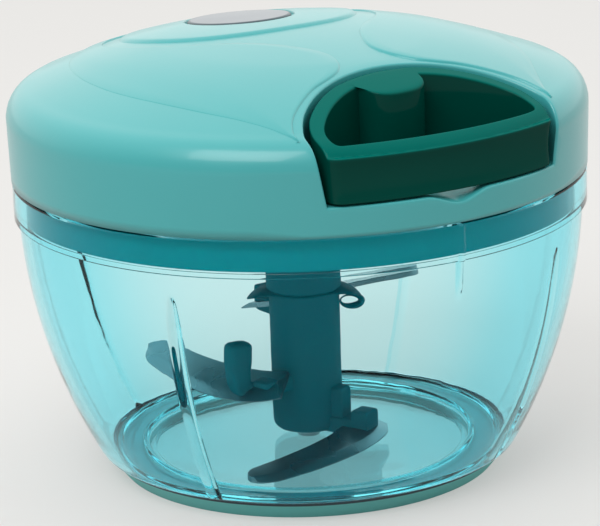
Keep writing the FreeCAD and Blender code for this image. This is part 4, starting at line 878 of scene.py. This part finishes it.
# %% [markdown]
# ## Fins and key
# Four fins inside the bowl stop the food from going round with the blades, and a small key on the
# outside, just under the rim, shows which way the lid sits. Both could be bodies of their own, but
# in clear plastic two bodies show a seam. So they are swellings of the turned skin, and the grid's
# lines are crowded where they stand.

# %% The bowl
FIN_DEPTH, FIN_WIDTH, FIN_TOP, FIN_AZIMUTH, FIN_COUNT = 1.3, 1.7, 53.5, 32.0, 4
FIN_FADE, FIN_TIP_SHARE, FIN_POWER, FIN_SPAN = 7.0, 0.4, 1.3, 3.2
KEY_AZIMUTH, KEY_HALF, KEY_LEVEL, KEY_PROUD, KEY_SWELL, KEY_SPAN = -90.0, 0.95, 50.5, 0.42, 0.9, 1.3


def bowl_angles():
    """Directions round the bowl, crowded where a fin or the key needs them."""
    step = 360 / FIN_COUNT
    fins = FIN_AZIMUTH + step * np.arange(FIN_COUNT)[:, None]
    near = np.linspace(-FIN_SPAN, FIN_SPAN, 33)
    far = np.linspace(FIN_SPAN, step - FIN_SPAN, 56)[1:-1]
    spread = np.concatenate([fins + near, fins + far], 1).ravel()
    key = KEY_AZIMUTH + np.linspace(-KEY_SPAN, KEY_SPAN, 27)
    return np.radians(np.unique(np.concatenate([spread, key]).round(3) % 360))


def off_azimuth(angle, azimuth, period=360.0):
    """Signed angle in degrees from the nearest of the evenly spaced azimuths."""
    return (np.degrees(angle) - azimuth + period / 2) % period - period / 2


def bowl_grid():
    """The turned profile; fins swell its inner wall as cos(x) ** 1.3, a key its outer wall as cos(x)."""
    fin_rows, key_rows = run_of_row == "inner wall", np.isin(run_of_row, ("outer wall", "step", "band"))
    angle = bowl_angles()[:, None]
    radius, level = bowl_profile[None, :, 0] + 0 * angle, bowl_profile[None, :, 1] + 0 * angle
    across = np.radians(off_azimuth(angle, FIN_AZIMUTH, 360 / FIN_COUNT)) * radius
    taper = np.sqrt(np.clip((FIN_TOP - level) / FIN_FADE, 0, 1))
    half = FIN_WIDTH * (FIN_TIP_SHARE + (1 - FIN_TIP_SHARE) * taper)
    bump = np.cos(np.pi / 2 * np.clip(across / half, -1, 1)) ** FIN_POWER
    radius = radius - fin_rows * FIN_DEPTH * taper * bump
    across = np.radians(off_azimuth(angle, KEY_AZIMUTH)) * radius
    ridge = np.cos(np.pi / 2 * np.clip(across / KEY_HALF, -1, 1))
    proud = KEY_SWELL * smooth_step((level - KEY_LEVEL) / (STEP_LEVEL - KEY_LEVEL)) ** 0.5
    radius = radius + key_rows * ridge * np.minimum(proud, RIM_RADIUS + KEY_PROUD - radius)
    return np.stack([radius * np.cos(angle), radius * np.sin(angle), level], -1), True, False


bowl = piece_from_grids("clear_bowl", [bowl_grid()], "bowl_base", sharp=30)
finish(bowl, bowl_plastic)
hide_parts("bowl")

# %% [markdown]
# ## The blade column
# The column is moulded round the three blades. Its tube is turned, with a bore for the pin, a collar
# and a thin splash guard that droops at two sides. Each blade sits in an arm. A solid modeller
# would join them all; here each form is a closed skin of its own that runs into the tube, which
# looks the same and keeps each formula short.

# %% The tube and its hex
COLUMN_RADIUS, COLLAR_RADIUS, COLLAR_LEVEL, COLLAR_TOP, COLUMN_TOP = 7.9, 8.4, 39.4, 46.4, 54.0
NECK_RADIUS, FOOT_RADIUS, FOOT_LEVEL, FOOT_HEIGHT, TUBE_MIDDLE = 7.3, 6.2, 6.8, 2.4, 20
BORE_RADIUS, BORE_TOP, BORE_BEVEL = 2.75, 30.4, 0.3
HEX_FLATS, HEX_TOP, HEX_BEVEL, HEX_ROOT = 9.0, 60.0, 0.4, 1.0


def tube_grid(profile, steps=96):
    """An open profile that starts and ends on the axis, turned into a closed skin."""
    grid, wrap_rows, _ = turned(profile, steps)
    return grid, wrap_rows, False


column_profile = np.concatenate([
    [(0, BORE_TOP), (BORE_RADIUS, BORE_TOP), (BORE_RADIUS, FOOT_LEVEL + BORE_BEVEL),
     (BORE_RADIUS + BORE_BEVEL, FOOT_LEVEL)],
    quarter((FOOT_RADIUS, FOOT_LEVEL), (COLUMN_RADIUS, FOOT_LEVEL),
            (COLUMN_RADIUS, FOOT_LEVEL + FOOT_HEIGHT)),
    [(COLUMN_RADIUS, TUBE_MIDDLE), (COLUMN_RADIUS, COLLAR_LEVEL - 0.6)],
    quarter((COLUMN_RADIUS, COLLAR_LEVEL - 0.5), (COLUMN_RADIUS, COLLAR_LEVEL),
            (COLLAR_RADIUS, COLLAR_LEVEL + 0.4), 5),
    quarter((COLLAR_RADIUS, COLLAR_TOP - 0.6), (COLLAR_RADIUS, COLLAR_TOP),
            (COLLAR_RADIUS - 0.6, COLLAR_TOP), 5),
    [(NECK_RADIUS, COLLAR_TOP), (NECK_RADIUS, COLUMN_TOP - 0.5), (NECK_RADIUS - 0.5, COLUMN_TOP),
     (0, COLUMN_TOP)]])
hex_radius = HEX_FLATS / math.sqrt(3)
hex_profile = [(0, COLUMN_TOP - HEX_ROOT), (hex_radius, COLUMN_TOP - HEX_ROOT),
               (hex_radius, HEX_TOP - HEX_BEVEL), (hex_radius - HEX_BEVEL, HEX_TOP), (0, HEX_TOP)]
print("the tube's profile has", len(column_profile), "points")

# %% [markdown]
# ## Guard, blocks, arms and eye
# A thin guard under the collar throws juice outwards, blocks and a bent arm carry the blades, and a
# small eye lets a finger lift the column out. They could be cubes and tori with a Bevel. As grids,
# a section carried along a path bends and swells where the moulding does, and corners are soft.

# %% Forms round the tube
GUARD_SHORT, GUARD_LONG, GUARD_DROOP, GUARD_TURN = 8.5, 12.8, 2.0, -31.0
GUARD_POWER, GUARD_HALF, GUARD_DEPTH = 9, 0.55, 0.3
GUARD_SHARE = np.array([0, 0.25, 0.5, 0.75, 0.92, 1.0, 0.92, 0.75, 0.5, 0.25, 0])
GUARD_THICK = np.array([1, 0.8, 0.62, 0.5, 0.35, 0, -0.35, -0.5, -0.62, -0.8, -1]) * GUARD_HALF


def guard_grid(steps=144):
    """A thin skirt whose reach swells at two opposite sides: long where |cos(turn)| ** 9 is near 1."""
    angle = np.linspace(0, 2 * np.pi, steps, endpoint=False)[:, None]
    swell = np.abs(np.cos(angle - math.radians(GUARD_TURN))) ** GUARD_POWER
    reach = GUARD_SHORT + (GUARD_LONG - GUARD_SHORT) * swell
    radius = NECK_RADIUS + (reach - NECK_RADIUS) * GUARD_SHARE
    droop = GUARD_DROOP * ((radius - COLUMN_RADIUS) / (GUARD_LONG - COLUMN_RADIUS)).clip(0) ** 2
    level = COLLAR_LEVEL - GUARD_DEPTH - droop + GUARD_THICK
    return np.stack([radius * np.cos(angle), radius * np.sin(angle), level], -1), True, True


def around(radial, across, level, turn):
    """Points given as distance out, distance across and level, turned to their direction."""
    angle = math.radians(turn)
    return np.stack([radial * math.cos(angle) - across * math.sin(angle),
                     radial * math.sin(angle) + across * math.cos(angle), level + 0 * radial], -1)


def block_grid(radial, across, levels, turn, squareness=0.22, steps=(40, 21)):
    """A box with soft edges: a superellipsoid, |x|, |y| and |z| raised to 2 / squareness."""
    u = np.linspace(0, 2 * np.pi, steps[0], endpoint=False)[:, None]
    v = np.linspace(-np.pi / 2, np.pi / 2, steps[1])[None, :]

    def soft(value):
        """The signed power; rounding first makes the poles exact points."""
        return np.sign(value) * np.abs(value.round(12)) ** squareness

    out = sum(radial) / 2 + (radial[1] - radial[0]) / 2 * soft(np.cos(u)) * soft(np.cos(v))
    side = across / 2 * soft(np.sin(u)) * soft(np.cos(v))
    level = sum(levels) / 2 + (levels[1] - levels[0]) / 2 * soft(np.sin(v)) + 0 * u
    return around(out, side, level, turn), True, False


def arm_grid(path, halves, across, turn, steps=(48, 28), cap_share=0.06):
    """An arm along a path of (out, level): a soft section, half thickness from halves, ends rounded."""
    line = resampled(flowing(path), steps[0])
    share = np.linspace(0, 1, len(line))
    thick = np.interp(share, np.linspace(0, 1, len(halves)), halves)
    cap = np.sqrt(np.clip(1 - (1 - np.minimum(share, 1 - share) / cap_share).clip(0) ** 2, 0, 1))
    along = np.gradient(line, axis=0)
    along /= np.linalg.norm(along, axis=1, keepdims=True)
    normal = np.stack([-along[:, 1], along[:, 0]], -1)
    t = np.linspace(0, 2 * np.pi, steps[1], endpoint=False)
    ring = np.stack([np.cos(t), np.sin(t)], -1)
    ring = np.sign(ring) * np.abs(ring) ** 0.5
    centre = line[:, None] + normal[:, None] * (thick * cap)[:, None, None] * ring[None, :, :1]
    side = across / 2 * cap[:, None] * ring[None, :, 1]
    return around(centre[..., 0], side, centre[..., 1], turn), False, True


def eye_grid(centre, halves, wire, turn, steps=(40, 12)):
    """An upright eye: a wire round x = a cos t, z = b sin t, as thick as 0.8 + 0.5 cos(t + 0.6)."""
    t = np.linspace(0, 2 * np.pi, steps[0], endpoint=False)[:, None]
    w = np.linspace(0, 2 * np.pi, steps[1], endpoint=False)[None, :]
    wire = wire * (0.8 + 0.5 * np.cos(t + 0.6))
    out = centre[0] + (halves[0] + wire * np.cos(w)) * np.cos(t)
    level = centre[1] + (halves[1] + wire * np.cos(w)) * np.sin(t)
    return around(out, wire * 1.4 * np.sin(w), level, turn), True, True


print("the guard reaches from", GUARD_SHORT, "to", GUARD_LONG, "mm")

# %% [markdown]
# ## The column in one piece
# Each blade has a level, a direction and a pitch, and its arm stands in the same direction. Blocks,
# hook and eye could stay pieces of their own, but the real column is one moulding, so they become
# one mesh. A table says how far out each block reaches, how wide it is and between which levels.

# %% The column
LOWER, MIDDLE, UPPER = (8.0, 295.0, 1.0), (19.4, 198.0, 20.0), (32.4, 92.0, 12.0)
BLOCKS = {
    "lower arm": ((4, 17.4), 5.0, (6.6, 10.4), LOWER[1]),
    "lower post": ((12.9, 17.4), 5.0, (7, 12.6), LOWER[1]),
    "web at the tube": ((6, 10.6), 4.0, (7, 17.2), LOWER[1]),
    "middle arm": ((4, 16.0), 5.0, (17.4, 21.0), MIDDLE[1]),
    "upper arm": ((4, 17.4), 5.0, (30.6, 34.6), UPPER[1]),
    "upper post": ((12.9, 17.4), 5.0, (31, 36.6), UPPER[1]),
}
HOOK_PATH = [(5, 19.0), (10, 18.4), (15, 18.2), (18.0, 19.6), (18.6, 24), (18.2, 30.4)]
HOOK_HALVES, HOOK_WIDTH, HOOK_TURN = (2.0, 1.9, 1.9, 2.2, 2.9, 2.9), 4.4, 184
EYE_CENTRE, EYE_HALVES, EYE_WIRE = (10.5, 35.8), (2.4, 1.35), 0.62

column = piece_from_grids("blade_carrier", [
    tube_grid(column_profile), tube_grid(hex_profile, 6), guard_grid(),
    eye_grid(EYE_CENTRE, EYE_HALVES, EYE_WIRE, GUARD_TURN),
    *(block_grid(*block) for block in BLOCKS.values()),
    arm_grid(HOOK_PATH, HOOK_HALVES, HOOK_WIDTH, HOOK_TURN)], "blade_set")
finish(column, column_plastic)
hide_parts("blade_column")

# %% [markdown]
# ## The blades
# Each blade is a curved piece of sheet steel. A grinding wheel took a wide bevel off its outer edge,
# and that bevel is what catches the light. An extruded outline with a Bevel would round both edges
# alike. The sheet is ruled between its two curved edges instead, so only one of them is ground.

# %% Blades
BLADE_THICK, BEVEL_WIDTH, BEVEL_SHARE, BEVEL_DEPTH, PIVOT = 1.2, 2.4, 0.45, 0.95, 16.0
BEVEL_EDGE, BACK_CHAMFER, TIP_START = 0.12, 0.15, 0.9
CUTTING_EDGE = [(17.2, 6.3), (20.4, 1.0), (21.6, -7.0), (21.2, -15.5), (19.4, -25.0), (16.6, -34.0),
                (14.2, -39.6)]
BACK_EDGE = [(9.4, 2.4), (10.6, -2.4), (11.4, -10.0), (11.0, -18.5), (9.8, -27.0), (8.3, -34.5),
             (8.1, -38.6)]


def blade_grid(level, turn, pitch, count=90):
    """Sections across the blade: flat below, bevelled above the cutting edge; then tilted and placed."""
    edge_line, back_line = resampled(flowing(CUTTING_EDGE), count), resampled(flowing(BACK_EDGE), count)
    tip = np.clip((np.linspace(0, 1, count) - TIP_START) / (1 - TIP_START), 0, 1)[:, None]
    close = 1 - np.sqrt(np.clip(1 - tip ** 2, 0, 1))
    middle = (edge_line + back_line) / 2
    edge_line = edge_line + (middle - edge_line) * close
    back_line = back_line + (middle - back_line) * close
    width = np.linalg.norm(back_line - edge_line, axis=1)[:, None]
    bevel = np.minimum(BEVEL_WIDTH, width * BEVEL_SHARE)
    half, back = BLADE_THICK / 2, width - BACK_CHAMFER
    across = np.concatenate([0 * bevel, 0 * bevel, bevel / 2, bevel, bevel + BEVEL_EDGE, back, width,
                             width, back, bevel], 1) / np.maximum(width, 1e-6)
    height = np.array([-half, half - BEVEL_DEPTH, half - BEVEL_DEPTH / 2, half - 0.02, half, half,
                       half - BACK_CHAMFER, BACK_CHAMFER - half, -half, -half])
    flat = edge_line[:, None] + (back_line - edge_line)[:, None] * across.clip(0, 1)[..., None]
    swing = math.radians(pitch)
    out = flat[..., 0] * math.cos(swing) + height * math.sin(swing)
    rise = (PIVOT - flat[..., 0]) * math.sin(swing) + height * math.cos(swing)
    grid = around(out, flat[..., 1], level + rise, turn)
    ends = [np.repeat(grid[k].mean(0)[None, None], grid.shape[1], 1) for k in (0, -1)]
    return np.concatenate([ends[0], grid, ends[1]]), False, True


for node, place in (("lower_blade", LOWER), ("middle_blade", MIDDLE), ("upper_blade", UPPER)):
    blade = piece_from_grids(node + "_ground", [blade_grid(*place)], "blade_set", sharp=25)
    finish(blade, blade_steel)
    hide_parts(node)

# %% [markdown]
# ## The pull cord
# A braided cord leaves the reel, bends at the eyelet and ends in its knot inside the handle. A pull
# brings more of it off the reel. Strands swept along it would be finer than the eye can see, so a
# tube carries their crossed relief. The part between eyelet and knot draws out as the handle moves,
# so its rings lie where a full pull spaces them evenly.

# %% The cord
lead_low, lead_high = box_of("pull_cord_lead")
CORD_LEVEL, CORD_RADIUS = (lead_low[2] + lead_high[2]) / 2, (lead_high[2] - lead_low[2]) / 2
CORD_START, CORD_TURN, CORD_BEND, CORD_EXIT = (-14.6, -11.2), (-1.9, -28.4), (0, -31.0), -33.4
CORD_END, CORD_PULL, CORD_PITCH, CORD_STRANDS = lead_low[1], 300.0, 3.6, 3
CORD_RELIEF, CORD_CAP, INNER_RINGS, CORD_RINGS = 0.1, 0.7, 60, 900

inner_run = resampled(np.concatenate([
    [CORD_START], quarter(CORD_TURN, CORD_BEND, (0, CORD_EXIT), 12)]), INNER_RINGS)
pulled = np.linspace(0, 1, CORD_RINGS)
stretch = 0.5 - np.sin(np.arcsin(1 - 2 * pulled) / 3)
outer_run = np.stack([0 * stretch, CORD_EXIT + (CORD_END - CORD_EXIT) * stretch], -1)
cord_line = np.concatenate([inner_run[:-1], outer_run])
inner_length = np.linalg.norm(np.diff(inner_run, axis=0), axis=1).sum()
cord_along = np.concatenate([np.linspace(0, inner_length, INNER_RINGS)[:-1],
                             inner_length + pulled * (CORD_PULL + CORD_EXIT - CORD_END)])


def cord_grid(around_steps=24):
    """r = R (1 - relief * crossing); strands turn both ways, so they cross as cos(n a + t) cos(n a - t)."""
    angle = np.linspace(0, 2 * np.pi, around_steps, endpoint=False)[None, :]
    turn = 2 * np.pi * cord_along[:, None] / CORD_PITCH
    crossing = 0.5 - 0.5 * np.cos(CORD_STRANDS * angle + turn) * np.cos(CORD_STRANDS * angle - turn)
    end = np.minimum(cord_along, cord_along[-1] - cord_along) / CORD_CAP
    cap = np.sqrt(np.clip(1 - (1 - np.minimum(end, 1)) ** 2, 0, 1))[:, None]
    radius = CORD_RADIUS * cap * (1 - CORD_RELIEF * crossing)
    across = outward(cord_line, closed=False)
    plan = cord_line[:, None] + across[:, None] * (radius * np.cos(angle))[..., None]
    return np.concatenate([plan, (CORD_LEVEL + radius * np.sin(angle))[..., None]], -1)


cord = piece_from_grids("braided_cord", [(cord_grid(), False, True)], sharp=80)
finish(cord, cord_fibre)
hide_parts("pull_cord_lead")
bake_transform(cord)
print("cord lead", lead_low.round(2), lead_high.round(2))

# %% [markdown]
# ## Floor and light
# A product table needs little: a pale floor that keeps the shadow, one broad lamp above for the
# dome, and a room that is brighter behind the object than in front of it, which clear plastic
# needs to show its edges. Three lamps would do it too, but each leaves its own square in the gloss.

# %% Floor
FLOOR_SIZE, FLOOR_TONE, FLOOR_GLOW = 6.0, (0.4, 0.396, 0.39, 1), (0.4, 0.398, 0.39, 1)
floor_corners = FLOOR_SIZE * np.array([(-1, -1, 0), (1, -1, 0), (1, 1, 0), (-1, 1, 0)])
floor_mesh = bpy.data.meshes.new("floor")
floor_mesh.from_pydata(floor_corners.tolist(), [], [(0, 1, 2, 3)])
floor = bpy.data.objects.new("floor", floor_mesh)
bpy.context.scene.collection.objects.link(floor)


def floor_material():
    """A pale floor that keeps the shadow; a little glow lifts it for eyes, mirrors and glass."""
    material = bpy.data.materials.new("pale floor")
    material.use_nodes = True
    tree = material.node_tree
    principled = preset(tree.nodes["Principled BSDF"], Base_Color=FLOOR_TONE, Roughness=0.9,
                        Specular_IOR_Level=0.0, Emission_Color=FLOOR_GLOW)
    path = tree.nodes.new("ShaderNodeLightPath").outputs
    seen = joined(tree, "MAXIMUM", path["Is Camera Ray"], path["Is Glossy Ray"])
    seen = joined(tree, "MAXIMUM", seen, path["Is Transmission Ray"])
    tree.links.new(seen, principled.inputs["Emission Strength"])
    return material


finish(floor, floor_material())
print("the floor is", 2 * FLOOR_SIZE, "m wide")

# %% Room light and lamp
BACK_GLOW, FRONT_GLOW, GLOW_START, GLOW_END = 1.25, 0.46, -0.5, 0.7
ROOM_TONE, BRIGHT_SIDE = (1.0, 0.99, 0.97, 1), (0.5, 0.8, 0.33)
LAMP_PLACE, LAMP_SIZE, LAMP_POWER = (-560, -360, 800), 600, 4.8

world = bpy.data.worlds.new("studio")
world.use_nodes = True
bpy.context.scene.world = world
room = world.node_tree
background = preset(room.nodes["Background"], Color=ROOM_TONE)
look = room.nodes.new("ShaderNodeTexCoord")
facing = chained(room, look.outputs["Generated"], "ShaderNodeVectorMath", "DOT_PRODUCT", BRIGHT_SIDE)
glow = preset(group_node(room, "ShaderNodeMapRange", interpolation_type="SMOOTHSTEP"),
              From_Min=GLOW_START, From_Max=GLOW_END, To_Min=FRONT_GLOW, To_Max=BACK_GLOW)
room.links.new(facing.outputs["Value"], glow.inputs["Value"])
room.links.new(glow.outputs["Result"], background.inputs["Strength"])
bpy.context.scene.view_settings.view_transform = "Standard"

lamp_data = bpy.data.lights.new("key lamp", "AREA")
lamp_data.shape = "RECTANGLE"
lamp_data.size = lamp_data.size_y = LAMP_SIZE * MM
lamp_data.energy = LAMP_POWER
lamp = bpy.data.objects.new("key lamp", lamp_data)
lamp.location = Vector(LAMP_PLACE) * MM
lamp_aim = Vector((0, 0, LID_TOP / 2)) - Vector(LAMP_PLACE)
lamp.rotation_euler = lamp_aim.to_track_quat("-Z", "Y").to_euler()
bpy.context.scene.collection.objects.link(lamp)
print("one lamp of", LAMP_POWER, "W; the room glows from", FRONT_GLOW, "to", BACK_GLOW)

# %% [markdown]
# ## The camera
# It looks at the handle's side from a little above, from far away through a long lens, so that the
# ellipses of lid and bowl stay flat. Its three axes are written down as a matrix. A Track To
# constraint would aim it as well, but would not give it the slight roll.

# %% Camera
CAMERA_AZIMUTH, CAMERA_ELEVATION, CAMERA_ROLL = -31.0, 15.97, 2.07
CAMERA_DISTANCE, CAMERA_LENS = 700.0, 187.9
CAMERA_TARGET = (-0.62, 0.0, 44.59)

azimuth, elevation, roll = map(math.radians, (CAMERA_AZIMUTH, CAMERA_ELEVATION, CAMERA_ROLL))
right = Vector((math.cos(azimuth), math.sin(azimuth), 0))
back = Vector((math.sin(azimuth) * math.cos(elevation), -math.cos(azimuth) * math.cos(elevation),
               math.sin(elevation)))
up = back.cross(right)
tilted_right = right * math.cos(roll) - up * math.sin(roll)
tilted_up = right * math.sin(roll) + up * math.cos(roll)
target = right * CAMERA_TARGET[0] + Vector((0, 0, CAMERA_TARGET[2]))
camera_data = bpy.data.cameras.new("camera")
camera_data.lens = CAMERA_LENS
camera = bpy.data.objects.new("camera", camera_data)
camera.matrix_world = Matrix.Translation((target + back * CAMERA_DISTANCE) * MM) @ Matrix(
    (tilted_right, tilted_up, back)).transposed().to_4x4()
bpy.context.scene.collection.objects.link(camera)
bpy.context.scene.camera = camera
print("the camera stands", CAMERA_DISTANCE, "mm away,", CAMERA_ELEVATION, "degrees up")
